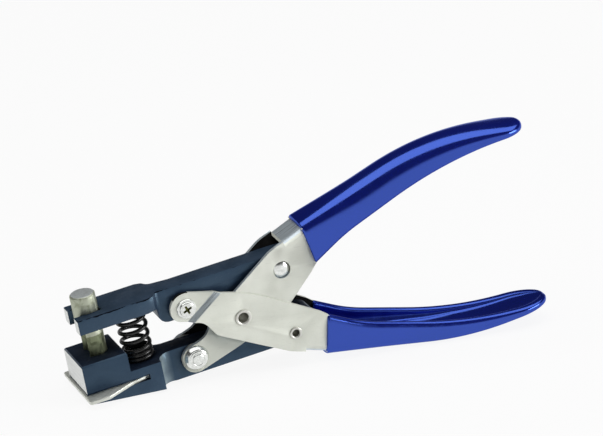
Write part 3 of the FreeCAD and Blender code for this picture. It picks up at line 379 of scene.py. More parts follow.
# a darker copy of the punch's steel for its lower part: painted shade between the jaws, with random stains
SHADED_PUNCH = bare_steel("painted_shade_steel", (0.24, 0.27, 0.17), 0.45, (1800, 1800, 240), 0.7,
                   (0.07, 0.08, 0.045))
CAPPED = bare_steel("capped_steel", (0.66, 0.70, 0.70), 0.5, (1800, 1800, 240), 0.3,
                    (0.34, 0.37, 0.34), 0.7)


def black_wire():
    finish, tree, shader, place = new_finish("black_wire", (0.006, 0.006, 0.008), 0.28)
    cloud = noise(tree, place, 800.0)
    colour = ramp(tree, cloud, (0.004, 0.004, 0.004), (0.010, 0.010, 0.010))
    paint(tree, shader, colour, span(tree, cloud, 0.2, 0.36))
    bump(tree, shader, cloud, 0.1, 0.0001)
    return finish


def inside_shade_sheet():
    """The inner faces of the handles, painted near black for the shade inside the channels."""
    finish, tree, shader, place = new_finish("inside_shade_sheet", (0.006, 0.006, 0.006), 0.8)
    glossy(shader, 1.45, 0.08, (1.0, 1.0, 1.0))
    cloud = noise(tree, place, 200.0, 4.0)
    colour = ramp(tree, cloud, (0.003, 0.003, 0.003), (0.014, 0.014, 0.013), 0.35, 0.75)
    paint(tree, shader, colour, span(tree, cloud, 0.7, 0.9))
    bump(tree, shader, cloud, 0.2, 0.0002)
    return finish


WIRE = black_wire()
INSIDE_SHADE = inside_shade_sheet()
print("finishes", len(bpy.data.materials))

# %% [markdown]
# ## Helpers for new pieces
#
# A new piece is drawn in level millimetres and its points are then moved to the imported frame, so
# that its object stays at the origin. `keep` hands a finished mesh over to the frame.

# %% Helpers for meshes
def keep(name, mesh, nodes, finish=None):
    """Make a mesh the piece that stands for the nodes and moves with their body."""
    if finish:
        mesh.materials.clear()
        mesh.materials.append(finish)
    piece = placed(name, mesh)
    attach(piece, body_of[nodes[0]])
    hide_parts(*nodes)
    print(name, len(mesh.polygons), "faces")
    return piece


def to_mesh(form, name):
    mesh = bpy.data.meshes.new(name)
    form.to_mesh(mesh)
    form.free()
    return mesh


def baked(draft, name):
    """The plain mesh of a draft with its modifiers; the draft is thrown away."""
    graph = bpy.context.evaluated_depsgraph_get()
    mesh = bpy.data.meshes.new_from_object(draft.evaluated_get(graph))
    bpy.data.objects.remove(draft)
    mesh.name = name
    return mesh


def merge(mesh):
    """Join the points that coincide, turn every face outward and shade it smooth."""
    form = bmesh.new()
    form.from_mesh(mesh)
    bmesh.ops.remove_doubles(form, verts=form.verts, dist=1e-7)
    bmesh.ops.recalc_face_normals(form, faces=form.faces)
    form.to_mesh(mesh)
    form.free()
    mesh.shade_smooth()


def rounded_path(corners, step=1.0):
    """A line through (run, rise, radius) corners, each rounded, with points every step."""
    path = []
    for i, (x, y, radius) in enumerate(corners):
        here = Vector((x, y))
        if i in (0, len(corners) - 1) or radius == 0:
            path.append(here)
            continue
        before = (Vector(corners[i - 1][:2]) - here).normalized()
        after = (Vector(corners[i + 1][:2]) - here).normalized()
        half = before.angle(after) / 2
        reach = radius / math.tan(half)
        centre = here + (before + after).normalized() * (radius / math.sin(half))
        start, end = here + before * reach, here + after * reach
        first = math.atan2(*(start - centre).yx)
        sweep = math.remainder(math.atan2(*(end - centre).yx) - first, 2 * math.pi)
        count = max(3, math.ceil(abs(sweep) * radius / step))
        for k in range(count + 1):
            angle = first + sweep * k / count
            path.append(centre + Vector((math.cos(angle), math.sin(angle))) * radius)
    return path


def along(path, share):
    """The point at a share of a path's length."""
    lengths = [(b - a).length for a, b in zip(path, path[1:])]
    wanted = share * sum(lengths)
    for a, b, length in zip(path, path[1:], lengths):
        if wanted <= length:
            return a.lerp(b, wanted / length)
        wanted -= length
    return path[-1].copy()


# %% [markdown]
# ## Softened metal
#
# Real sheet and castings have no knife edges. A part whose shape is right keeps its shape: a
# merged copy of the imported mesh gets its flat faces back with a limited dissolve, and a narrow
# Bevel modifier rounds the edges, whose normals are hardened so that the flats stay flat.

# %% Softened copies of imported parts
EDGE_ANGLE, EDGE_SEGMENTS = math.radians(32.0), 2


def merged_copy(node):
    """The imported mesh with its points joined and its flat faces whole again."""
    form = bmesh.new()
    form.from_mesh(frame["nodes"][node].data)
    bmesh.ops.remove_doubles(form, verts=form.verts, dist=2e-6)
    bmesh.ops.dissolve_degenerate(form, edges=form.edges, dist=1e-6)
    bmesh.ops.dissolve_limit(form, angle_limit=math.radians(0.8), verts=form.verts,
                             edges=form.edges)
    bmesh.ops.recalc_face_normals(form, faces=form.faces)
    return form


def soften(name, node, finish, width, reshape=None, cuts=()):
    """A piece with rounded edges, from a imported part: cut by (spot, way, start) planes behind
    their start, then moved by reshape, both in level millimetres."""
    form = merged_copy(node)
    for spot, way, start in cuts:
        after = [f for f in form.faces
                 if min((row_to_level @ v.co).x for v in f.verts) > start - 0.01]
        around = {e for f in after for e in f.edges} | {v for f in after for v in f.verts}
        bmesh.ops.bisect_plane(form, geom=[*after, *around], plane_co=level_to_row @ spot,
                               plane_no=level_to_row.to_3x3() @ way, dist=1e-6)
    if reshape:
        for vertex in form.verts:
            vertex.co = level_to_row @ reshape(row_to_level @ vertex.co)
    mesh = to_mesh(form, name)
    mesh.shade_smooth()
    draft = placed(name, mesh)
    bevel = draft.modifiers.new("edges", "BEVEL")
    bevel.width = width / 1000
    bevel.segments = EDGE_SEGMENTS
    bevel.limit_method = "ANGLE"
    bevel.angle_limit = EDGE_ANGLE
    bevel.use_clamp_overlap = True
    bevel.harden_normals = True
    return keep(name, baked(draft, name), [node], finish)


lower_block = soften("lower_jaw_block", "lower_jaw", ENAMEL, 0.35)
upper_prongs = soften("upper_jaw_prongs", "upper_jaw", ENAMEL, 0.35)
soften("guide_sheet", "guide_plate", ROLLED, 0.12)
soften("stop_sheet", "card_stop", ENAMEL, 0.1)
SHADE_LINE, PUNCH_TOP = 20.0, 30.0  # heights on the punch: painted shade below, capped above
EVERYWHERE = -99.0  # the start of a cut that goes through the whole part
punch = soften("punch_body", "punch", TOOL, 0.15, cuts=[
    (Vector((0, 0, SHADE_LINE)), Vector((0, 0, 1)), EVERYWHERE)])


def refinish(piece, *rules):
    """Give each face the finish of the first rule that holds for its middle and its way."""
    way_in = row_to_level.to_3x3().normalized()
    counts = [0] * len(rules)
    for finish, _ in rules:
        piece.data.materials.append(finish)
    for face in piece.data.polygons:
        middle, way = row_to_level @ face.center, (way_in @ face.normal).normalized()
        for index, (_, rule) in enumerate(rules):
            if rule(middle, way):
                face.material_index = index + 1
                counts[index] += 1
                break
    print(piece.name, "refinished", counts)


def upward(_, way):
    return way.z > 0.8


refinish(punch, (CAPPED, lambda middle, way: upward(middle, way) and middle.z > PUNCH_TOP),
         (SHADED_PUNCH, lambda middle, _: middle.z < SHADE_LINE))

# %% [markdown]
# ### The handles
#
# The steel and the vinyl of a handle follow the same two curves, so these come first: runs and
# rises from the main pivot, in level millimetres, each corner with its rounding.

# %% The two curves of each grip
# Each grip's half width; how square its section is at the mouth and behind it; how far its back
# puffs out and its tip dips, and its nose's length; then the rises and roundings of its curves.
# The upper handle also slopes by its lift, and the lower one bows the other way.
GRIPS = {
    "upper": {"half": 7.7, "mouth_power": 4.2, "power": 2.25, "puff": 0.9, "nose": 9.0,
              "dip": 0.0, "bow": 38.8, "bend": 91.8, "end": 113.8, "fall": 5.2, "palm": 7.1,
              "front": 24.2, "mouth": 9.7, "lift": 0.021, "side": 1},
    "lower": {"half": 9.2, "mouth_power": 6.0, "power": 4.5, "puff": -0.03, "nose": 13.0,
              "dip": 1.5, "bow": 35.3, "bend": 108.8, "end": 111.8, "fall": 2.3, "palm": 3.6,
              "front": 23.0, "mouth": 9.1, "lift": 0.0, "side": -1},
}
SHEET, COAT = 1.4, 1.2  # thickness of the steel and of the vinyl
NOSE, SIDE_NOSE = 2.8, 1.9  # vinyl past the steel's end, and its rounding
BACK_START, BACK_STEP, BACK_SLOPE = 27.2, 0.2, 0.26
BOW_RUN = 81.1
PALM_START, GRASP_RUN, PALM_RUN = 30.3, 43.0, 84.0
GRASP_RISE, GRASP_BEND, PALM_BEND = 17.7, 60.0, 140.0
TIP_THICKNESS = 1.5
MOUTH_END, BOXY_REACH = 29.0, 26.0  # where the section starts to round, and how fast


def clamped(share):
    return min(max(share, 0.0), 1.0)


def grip_curves(size):
    """The back and the palm side of the vinyl; a coat is thicker where it's cut at a slope."""
    end = size["end"] + NOSE
    end_rise = size["bow"] - size["fall"]
    front = size["front"] + BACK_STEP * BACK_SLOPE
    back = [(BACK_START, front + COAT * 1.03 + 0.4 * size["puff"], 0),
            (BOW_RUN, size["bow"] + COAT * 1.02 + size["puff"], size["bend"] + COAT),
            (end, end_rise + COAT * 0.7 - 0.4 * size["puff"] + 0.2 * size["dip"], 0)]
    palm = [(PALM_START, size["mouth"], 0), (GRASP_RUN, GRASP_RISE - COAT * 0.92, GRASP_BEND),
            (PALM_RUN, size["bow"] - size["palm"] - COAT, PALM_BEND),
            (end, end_rise - TIP_THICKNESS - COAT + size["dip"], 0)]
    return rounded_path(back), rounded_path(palm)


def dome(left, reach):
    """The height of a quarter ellipse, where so much is left to its end."""
    return math.sqrt(max(0.0, 1 - (1 - min(left / reach, 1)) ** 2))


def nose_share(size, run):
    """How much of its full width a grip still has at a run."""
    return dome(max(size["end"] + NOSE - run, 0), size["nose"])


def rise_at(path, run):
    """The rise of a path at a run."""
    for a, b in zip(path, path[1:]):
        if a.x <= run <= b.x:
            return a.y + (b.y - a.y) * (run - a.x) / (b.x - a.x)
    return path[-1].y if run > path[-1].x else path[0].y


def squareness(size, run):
    """How square a grip's section is: boxy at the mouth, where it hugs the sheet."""
    boxy = 1 - clamped((run - MOUTH_END) / BOXY_REACH)
    return size["power"] + (size["mouth_power"] - size["power"]) * boxy ** 2


# %% [markdown]
# The edge of each handle's sheet runs straight into the vinyl. The imported solid has a small step
# there, so the copy's few corners at the step are moved onto the straight line. What the vinyl
# hides is cut into short lengths and slimmed, because the dressed grip is rounder than the packed
# one. The bent web and the joggles get a bluish copy of the zinc, which paints the light these
# turned faces catch, and the inner faces a near-black finish, which paints the shade inside the
# channels.

# %% Handles
UPPER_FACE, LOWER_FACE = 6.5, 8.0  # from the middle to the outer face of each sheet
BEND_END, HIDDEN, WEB_END = 27.92, 31.3, 33.0
STEP_RUNS, STEP_RISES, STEP_FOOT, STEP_HEIGHT = (27.9, 29.9), (7.3, 11.35), 7.5, 3.7
CROOK_RUNS, CROOK_RISES, CROOK_MOVE = (12, 13), (-3.6, -2.5), (3.2, -0.8)
TOP_SHARE, CORNER_SHARE = 0.96, 0.8  # shares of the height, from palm to back
CORNER_REACH, SIDE_REACH, WEB_POWER = 0.4, 4.0, 4.0
TIP_START, TIP_REACH, TIP_SQUEEZE = 92.0, 8.0, 0.75
TIP_MIDDLE, TIP_SPREAD = 0.66, 0.12
COVER, TIP_COVER = 0.9, 0.6  # vinyl left over the steel, in coats
CUT_STEPS = (0.0, 0.42, HIDDEN - BEND_END, 5.4, 7.9, *range(12, 86, 5))
CUT_RISES = range(12, 40, 3)


def within(number, limits):
    return limits[0] < number < limits[1]


def slimmed(size, curves, run, rise, across):
    """Draw a hidden point of the steel in, under the vinyl's rounder section and its nose."""
    back, palm = curves
    low, high = rise_at(palm, run), rise_at(back, run)
    share = min(max((rise - low) / (high - low), 0.0), TOP_SHARE)
    start, reach = (BEND_END, CORNER_REACH) if share > CORNER_SHARE else (HIDDEN, SIDE_REACH)
    lead = clamped((run - start) / reach)
    power = size["power"] + (WEB_POWER - size["power"]) * (run < WEB_END)
    tip = clamped((run - TIP_START) / TIP_REACH)
    share += (TIP_MIDDLE + TIP_SPREAD * share - share) * tip
    rise += (low + share * (high - low) - rise) * tip
    run = min(run, TIP_START) + max(run - TIP_START, 0) * TIP_SQUEEZE
    room = (size["half"] * nose_share(size, run) * (1 - share ** power) ** (1 / power)
            - (COVER + TIP_COVER * tip) * COAT)
    slim = min(1.0, max(room, 1.0) / (size["half"] - COAT))
    return run, rise, across * (1 + (slim - 1) * lead)


def straight_edge(size, line):
    """Moves the corners of the step onto the line, and slims what the vinyl hides."""
    lift, sign = size["lift"], size["side"]
    (run_0, rise_0), (run_1, rise_1) = line
    curves = grip_curves(size)

    def reshape(spot):
        run = spot.x - MAIN_PIVOT.x
        rise = (spot.z - MAIN_PIVOT.z - lift * run) * sign
        across = spot.y
        if within(run, STEP_RUNS) and within(rise, STEP_RISES):
            share = (rise - STEP_FOOT) / STEP_HEIGHT
            run, rise = run_0 + (run_1 - run_0) * share, rise_0 + (rise_1 - rise_0) * share
        elif sign > 0 and within(run, CROOK_RUNS) and within(rise, CROOK_RISES):
            run, rise = run + CROOK_MOVE[0], rise + CROOK_MOVE[1]
        elif run > BEND_END:
            run, rise, across = slimmed(size, curves, run, rise, across)
        return Vector((MAIN_PIVOT.x + run, across, MAIN_PIVOT.z + sign * rise + lift * run))
    return reshape


def hidden_cuts(sign):
    """Planes that give the hidden steel enough points to follow the vinyl."""
    start = MAIN_PIVOT.x + BEND_END
    crossways = [(Vector((start + step, 0, 0)), Vector((1, 0, 0)), EVERYWHERE)
                 for step in CUT_STEPS]
    return crossways + [(Vector((0, 0, MAIN_PIVOT.z + sign * rise)), Vector((0, 0, 1)), start)
                        for rise in CUT_RISES]


def finish_handle(piece, sign, inner):
    # the bent web and the joggles get painted light
    def bent(middle, way):
        web = way.z * sign > 0.5 and middle.x < MAIN_PIVOT.x + WEB_END
        return web or (way.y * middle.y > 0 and 0.5 < abs(way.y) < 0.93 and way.x < -0.2)

    # the inner faces get painted shade
    def inside(middle, way):
        wall = way.y * middle.y < 0 and abs(way.y) > 0.8 and abs(middle.y) < inner + 0.1
        return wall or (way.z * sign < -0.7 and abs(middle.y) < inner - 0.4)
    refinish(piece, (INSIDE_SHADE, inside), (BEND_LIGHT, bent))


def handle(side, line, face):
    """A handle's steel; the line is where its palm edge runs into the vinyl."""
    size = GRIPS[side]
    piece = soften(f"{side}_handle_plate", f"{side}_handle", ZINC, 0.18,
                   reshape=straight_edge(size, line), cuts=hidden_cuts(size["side"]))
    finish_handle(piece, size["side"], face - SHEET)


handle("upper", ((28.0, 7.2), (31.0, 10.4)), UPPER_FACE)
handle("lower", ((28.0, 7.1), (31.0, 9.7)), LOWER_FACE)

# %% [markdown]
# The front faces of the die block and of the two prongs are ground bare after the enamel. Their
# tops get less glossy copies of the enamel: a darker one on the block, which is painted shade, and
# a lighter one on the prongs, which is painted light.

# %% Bare front faces, and painted shade and light on the tops
def front_of(ahead_of, above):
    """A rule for the faces that look forward, ahead of a run and above a height."""
    return lambda middle, way: way.x < -0.9 and middle.x < ahead_of and middle.z > above


refinish(lower_block, (GROUND, front_of(ahead_of=4.0, above=1.0)), (SHADED_TOPS, upward))
refinish(upper_prongs, (GROUND, front_of(ahead_of=6.0, above=20.0)), (LIT_TOPS, upward))

# %% [markdown]
# ## The vinyl grips
#
# A grip is made by dipping the steel channel of the handle in liquid vinyl. The vinyl covers the
# channel inside and out, rounds every edge and closes the end. A bevel on the plain solid would
# leave the flat sides of a milled block, so the grip is a loft: one C-shaped section is drawn at
# many stations between the curve of the back and the curve of the palm side. The section is a
# superellipse on two lips. It is boxy at the mouth, where it hugs the sheet, and rounder behind,
# so that the back carries long highlights.

# %% The section of a grip
WALL = SHEET + COAT * 1.7
ROOF = SHEET + COAT * 2
LIP_REACH, LIP_SHARE = 5.5, 0.36  # how tall a lip is, at most and as a share
TURN_REACH, TURN_SHARE = 1.2, 0.4  # the same for its turn into the channel
CHANNEL_POWER = 2.4
SKIN_POINTS, CHANNEL_POINTS, CORNER_POINTS = 44, 26, 7


def arch(half, reach, power, count):
    """From a foot at +half over the top to the foot at -half; a high power is boxy."""
    points = []
    for k in range(count + 1):
        across, up = math.cos(math.pi * k / count), math.sin(math.pi * k / count)
        points.append((math.copysign(half * abs(across) ** (2 / power), across),
                       reach * abs(up) ** (2 / power)))
    return points


def grip_section(outer, depth, wall, floor, inset, power):
    """C-shaped section, open below: (across, up) points in order round the loop."""
    outer -= inset
    inner = max(outer - wall + 2 * inset, outer * 0.15)
    low, high, roof = inset, depth - inset, max(floor + inset, inset + 0.03)
    foot = low + min(LIP_REACH, (high - low) * LIP_SHARE)
    turn = min(TURN_REACH, (roof - low) * TURN_SHARE)
    tip = (outer + inner) / 2
    skin = [(x, foot + y) for x, y in arch(outer, high - foot, power, SKIN_POINTS)]
    quarter = [math.pi / 2 * k / CORNER_POINTS for k in range(1, CORNER_POINTS + 1)]
    lip = [(-tip - (outer - tip) * math.cos(a), foot - (foot - low) * math.sin(a))
           for a in quarter]
    edge = [(-tip + (tip - inner) * math.sin(a), low + turn * (1 - math.cos(a)))
            for a in quarter[:-1]]
    hollow = arch(inner, roof - low - turn, CHANNEL_POWER, CHANNEL_POINTS)
    channel = [(x, low + turn + y) for x, y in hollow]
    left = skin + lip + edge
    return left + channel[::-1] + [(-x, y) for x, y in (lip + edge)[::-1]]


# %% [markdown]
# The stations lie close together at the mouth and at the nose. The nose is an ellipse in the plan
# view, its height closes over the last bit, and the channel fades out ahead of it.

# %% The stations of a grip
BODY_START, BODY_LENGTH, BODY_STEPS = 0.012, 0.90, 60
NOSE_START, NOSE_LENGTH, NOSE_STEPS = 0.912, 0.088, 26
SOLID_TIP, CHANNEL_FADE, THIN_FLOOR = 1.5, 6.0, 0.45


def stations():
    """Shares of the length, each with how far the section is drawn in to round the mouth."""
    mouth = [(0.0, 0.55), (0.0015, 0.25), (0.004, 0.08), (0.007, 0.0)]
    body = [(BODY_START + BODY_LENGTH * k / BODY_STEPS, 0.0) for k in range(BODY_STEPS + 1)]
    nose = [(NOSE_START + NOSE_LENGTH * math.sin(math.pi / 2 * k / NOSE_STEPS), 0.0)
            for k in range(1, NOSE_STEPS + 1)]
    return mouth + body + nose


def grip(side):
    size = GRIPS[side]
    back_path, palm_path = grip_curves(size)
    rings = []
    for share, inset in stations():
        top, bottom = along(back_path, share), along(palm_path, share)
        rising = top - bottom
        depth = rising.length
        rising.normalize()
        run = (top.x + bottom.x) / 2
        left = size["end"] + NOSE - run
        tall = dome(left, SIDE_NOSE)
        outer = max(size["half"] * nose_share(size, run), 0.05)
        fade = min(1.0, max(left - SOLID_TIP, 0) / CHANNEL_FADE) ** 0.5
        floor = max(depth - ROOF, THIN_FLOOR * depth) * fade
        wall = min(WALL, outer * 0.8)
        power = squareness(size, run)
        ring = []
        for across, rise in grip_section(outer, depth, wall, floor, inset, power):
            rise = depth * 0.5 + (rise - depth * 0.5) * max(tall, 0.02)
            spot = bottom + rising * rise
            height = MAIN_PIVOT.z + size["side"] * spot.y + size["lift"] * spot.x
            ring.append((MAIN_PIVOT.x + spot.x, across, height))
        rings.append(ring)
    count = len(rings[0])
    faces = [(r * count + k, r * count + (k + 1) % count, (r + 1) * count + (k + 1) % count,
              (r + 1) * count + k) for r in range(len(rings) - 1) for k in range(count)]
    faces.append(tuple(range(count)))
    faces.append(tuple((len(rings) - 1) * count + k for k in range(count)))
    name = f"{side}_vinyl"
    mesh = bpy.data.meshes.new(name)
    points = [tuple(level_to_row @ Vector(p)) for ring in rings for p in ring]
    mesh.from_pydata(points, [], faces)
    merge(mesh)
    keep(name, mesh, [f"{side}_grip"], VINYL)


grip("upper")
grip("lower")

# %% [markdown]
# ## Geometry Nodes for what follows a rule
#
# The spring is a wire along a path, and the pivot heads sit in pairs on both sides of the tool.
# Both are small node trees with named inputs. A helper starts a tree, and another runs it, takes
# the plain mesh and throws the draft away.

# %% Helpers for node trees
def new_tree(name, sizes):
    """A tree with named inputs; gives the tree, its input node and its output node."""
    tree = bpy.data.node_groups.new(name, "GeometryNodeTree")
    tree.interface.new_socket("Geometry", in_out="INPUT", socket_type="NodeSocketGeometry")
    for label, kind in sizes.items():
        tree.interface.new_socket(label, in_out="INPUT", socket_type=f"NodeSocket{kind}")
    tree.interface.new_socket("Geometry", in_out="OUTPUT", socket_type="NodeSocketGeometry")
    return tree, tree.nodes.new("NodeGroupInput"), tree.nodes.new("NodeGroupOutput")


def close_tree(tree, end, geometry, finish):
    """End a tree with plain, finished geometry."""
    plain = joined(tree, "GeometryNodeRealizeInstances", {"Geometry": geometry}).outputs[0]
    named = joined(tree, "GeometryNodeSetMaterial", {"Geometry": plain, "Material": finish})
    tree.links.new(named.outputs[0], end.inputs[0])


def grown(name, tree, sizes, start_mesh=None):
    """The plain mesh that a tree makes from its named sizes."""
    draft = placed(name, start_mesh or bpy.data.meshes.new(name))
    modifier = draft.modifiers.new(name, "NODES")
    modifier.node_group = tree
    for item in tree.interface.items_tree:
        if item.in_out == "INPUT" and item.name in sizes:
            modifier[item.identifier] = sizes[item.name]
    return baked(draft, name)


# %% [markdown]
# ## The return spring
#
# The spring is black wire. Its last turns lie close together so that it stands square on its
# seats, three below and one above, and the turns between are open. The height of each point of
# the wire is a sum of three ramps over the turns: closed, open, closed.

# %% The tree of a wire coil
COIL_POINTS, RIM_POINTS = 340, 14


def coil_tree():
    tree, start, end = new_tree("wire_coil", {
        "Coil Radius": "Float", "Wire Radius": "Float", "Turns": "Float", "Closed": "Float",
        "Close Pitch": "Float", "Open Rise": "Float", "Points": "Int", "Finish": "Material"})
    out = start.outputs
    index = tree.nodes.new("GeometryNodeInputIndex").outputs[0]
    last = maths(tree, "SUBTRACT", out["Points"], 1.0)
    turn = maths(tree, "MULTIPLY", maths(tree, "DIVIDE", index, last), out["Turns"])
    angle = maths(tree, "MULTIPLY", turn, 2 * math.pi)
    last_turn = maths(tree, "SUBTRACT", out["Turns"], 1.0)
    low_rise = maths(tree, "MULTIPLY", out["Closed"], out["Close Pitch"])
    heights = []
    for begin, finish, rise in ((0.0, out["Closed"], low_rise),
                                (out["Closed"], last_turn, out["Open Rise"]),
                                (last_turn, out["Turns"], out["Close Pitch"])):
        heights.append(span(tree, turn, 0.0, rise, begin, finish))
    height = maths(tree, "ADD", maths(tree, "ADD", heights[0], heights[1]), heights[2])
    across = maths(tree, "MULTIPLY", maths(tree, "COSINE", angle), out["Coil Radius"])
    deep = maths(tree, "MULTIPLY", maths(tree, "SINE", angle), out["Coil Radius"])
    spot = joined(tree, "ShaderNodeCombineXYZ", {0: across, 1: deep, 2: height}).outputs[0]
    line = joined(tree, "GeometryNodeMeshLine", {"Count": out["Points"]}).outputs[0]
    bent = joined(tree, "GeometryNodeSetPosition", {"Geometry": line, "Position": spot})
    path = joined(tree, "GeometryNodeMeshToCurve", {"Mesh": bent.outputs[0]}).outputs[0]
    rim = joined(tree, "GeometryNodeCurvePrimitiveCircle",
                 {"Resolution": RIM_POINTS, "Radius": out["Wire Radius"]}).outputs[0]
    tube = joined(tree, "GeometryNodeCurveToMesh",
                  {"Curve": path, "Profile Curve": rim, "Fill Caps": True}).outputs[0]
    close_tree(tree, end, tube, out["Finish"])
    return tree


# %% Spring
spring_low, spring_high = level_box("return_spring")
WIRE_RADIUS, TURNS, CLOSED, CLOSE_PITCH = 0.75, 7.2, 2.6, 1.58
spring_height = spring_high.z - spring_low.z
spring_mesh = grown("spring_wire", coil_tree(), {
    "Coil Radius": (spring_high.y - spring_low.y) / 2 - WIRE_RADIUS, "Wire Radius": WIRE_RADIUS,
    "Turns": TURNS, "Closed": CLOSED, "Close Pitch": CLOSE_PITCH,
    "Open Rise": spring_height - WIRE_RADIUS - (CLOSED + 1) * CLOSE_PITCH, "Points": COIL_POINTS,
    "Finish": WIRE})
centre = Vector(((spring_low.x + spring_high.x) / 2, 0, spring_low.z + WIRE_RADIUS / 2))
for vertex in spring_mesh.vertices:
    spot = vertex.co + centre
    spot.z = min(max(spot.z, spring_low.z), spring_high.z)
    vertex.co = level_to_row @ spot
spring_mesh.shade_smooth()
spring = keep("spring_wire", spring_mesh, ["return_spring"])
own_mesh(spring)

# %% [markdown]
# ## Pivot heads
#
# Every pivot shows a turned or peened head on both sides. Half of a pin is drawn as a profile and
# turned about the pin's axis. A node tree sets one half on each side, so that a pin is one piece.

# %% Turned halves and the tree that pairs them
SEGMENTS = 56


def turned_half(name, profile):
    """A surface of revolution about the tool's width: (radius, distance towards the viewer)."""
    form = bmesh.new()
    rings = []
    for radius, distance in profile:
        if radius < 1e-6:
            rings.append([form.verts.new((0, -distance, 0))])
            continue
        rings.append([form.verts.new((radius * math.cos(2 * math.pi * k / SEGMENTS), -distance,
                                      radius * math.sin(2 * math.pi * k / SEGMENTS)))
                      for k in range(SEGMENTS)])
    for first, second in zip(rings, rings[1:]):
        for k in range(SEGMENTS):
            corners = [first[k % len(first)], first[(k + 1) % len(first)],
                       second[(k + 1) % len(second)], second[k % len(second)]]
            corners = list(dict.fromkeys(corners))
            if len(corners) > 2:
                form.faces.new(corners)
    bmesh.ops.recalc_face_normals(form, faces=form.faces)
    return to_mesh(form, name)


def pair_tree():
    """A tree that sets a half pin on both sides of a place and joins the two."""
    tree, start, end = new_tree("both_sides", {"Place": "Vector", "Finish": "Material"})
    out = start.outputs
    both = tree.nodes.new("GeometryNodeJoinGeometry")
    for angle in (0, math.pi):
        half = joined(tree, "GeometryNodeTransform", {
            "Geometry": out["Geometry"], "Translation": out["Place"],
            "Rotation": (0, 0, angle)})
        tree.links.new(half.outputs[0], both.inputs[0])
    whole = joined(tree, "GeometryNodeMergeByDistance",
                   {"Geometry": both.outputs[0], "Distance": 0.0005}).outputs[0]
    close_tree(tree, end, whole, out["Finish"])
    return tree


BOTH_SIDES = pair_tree()


def finish_turned(mesh, angle=38.0):
    """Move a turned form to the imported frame, with sharp edges where it bends by the angle."""
    mesh.transform(level_to_row)
    merge(mesh)
    mesh.set_sharp_from_angle(angle=math.radians(angle))


def pin_place(node):
    low, high = level_box(node)
    return Vector(((low.x + high.x) / 2, 0, (low.z + high.z) / 2))


def paired_pin(name, node, profile, finish):
    half = turned_half(f"{name}_half", profile)
    mesh = grown(name, BOTH_SIDES, {"Place": tuple(pin_place(node)), "Finish": finish}, half)
    finish_turned(mesh)
    keep(name, mesh, [node])


def beyond(end, *points):
    """Profile points whose distances are counted from an end."""
    return [(radius, end + more) for radius, more in points]


paired_pin("main_rivet", "main_pivot_rivet", [
    (2.5, 0), *beyond(LOWER_FACE, (2.5, -0.05), (3.0, 0.02)),
    *beyond(LOWER_FACE + 0.5, (3.0, -0.28), (2.9, -0.08), (2.65, 0), (2.3, 0), (2.05, -0.1),
            (1.85, -0.35), (1.75, -0.9)), (1.75, 1.2), (0.9, 0.9), (0, 0.85)], PLATED)
paired_pin("slide_rivet", "lower_slide_rivet", [
    (1.9, 0), *beyond(LOWER_FACE, (1.9, -0.05), (2.3, 0.02)),
    *beyond(LOWER_FACE + 0.5, (2.3, -0.25), (2.2, -0.08), (2.0, 0), (1.7, 0), (1.45, -0.12),
            (1.3, -0.4), (1.25, -0.9)), (1.25, 1.2), (0.6, 0.9), (0, 0.85)], PLATED)
paired_pin("slide_pin", "upper_slide_pin", [
    (3.2, 0), *beyond(UPPER_FACE - 0.3, (3.2, -0.85), (3.16, -0.72), (3.0, -0.58), (2.6, -0.36),
                      (2.1, -0.16), (1.5, 0.02), (0.8, 0.12), (0, 0.16))], BRIGHT)
COLLAR_END = UPPER_FACE + 1.9
paired_pin("pin_collars", "lower_jaw_collars", [
    *beyond(UPPER_FACE, (2.55, 0.02), (4.5, 0.02), (4.5, 0.35), (4.4, 0.6), (4.1, 1.0),
            (3.8, 1.4)),
    *beyond(COLLAR_END, (3.6, -0.2), (3.4, -0.05), (3.2, 0), (2.55, 0)),
    (2.55, UPPER_FACE + 0.02)], BRIGHT)
paired_pin("peened_pin", "lower_jaw_rivet", [
    (2.5, 0), *beyond(COLLAR_END, (2.5, -0.2), (2.5, 0.02), (3.0, 0.04), (3.05, 0.1), (2.9, 0.2),
                      (2.35, 0.27), (2.15, 0.16), (2.05, 0.22), (1.95, 0.46), (1.7, 0.57),
                      (1.2, 0.6), (0, 0.6))], BRIGHT)

# %% [markdown]
# The upper jaw's pivot is a screw in a nut. The screw's head faces the viewer and has a cross
# recess, which is cut from its turned form, and the faces inside it are painted dark as shade.

# %% Cross-head screw and its nut
HEAD_END = UPPER_FACE + 1.5
RECESS_REACH, RECESS_BREADTH, RECESS_DEPTH = 1.75, 0.4, 1.2
RECESS_TURN = 0.22  # in quarter turns
RECESS_LIP, SHANK_END, SHADE_REACH = 0.12, 5.95, 1.9


def cross_recess():
    """A cross with tapering arms, as a closed form that stands proud of the head."""
    form = bmesh.new()
    outline = []
    drop = Vector((0, -HEAD_END + RECESS_DEPTH, 0))
    inner_corner = RECESS_BREADTH * 1.15
    arm = ((RECESS_REACH, -RECESS_BREADTH), (RECESS_REACH, RECESS_BREADTH),
           (inner_corner, inner_corner))
    for quarter in range(4):
        turn = Matrix.Rotation(-math.pi / 2 * (quarter + RECESS_TURN), 3, "Y")
        outline += [turn @ Vector((x, 0, z)) for x, z in arm]
    top = [form.verts.new(p * 1.05 + Vector((0, -HEAD_END - 0.2, 0))) for p in outline]
    low = [form.verts.new(p * 0.45 + drop) for p in outline]
    form.faces.new(top)
    form.faces.new(low)
    for k in range(len(top)):
        j = (k + 1) % len(top)
        form.faces.new((top[k], top[j], low[j], low[k]))
    bmesh.ops.recalc_face_normals(form, faces=form.faces)
    return to_mesh(form, "recess")


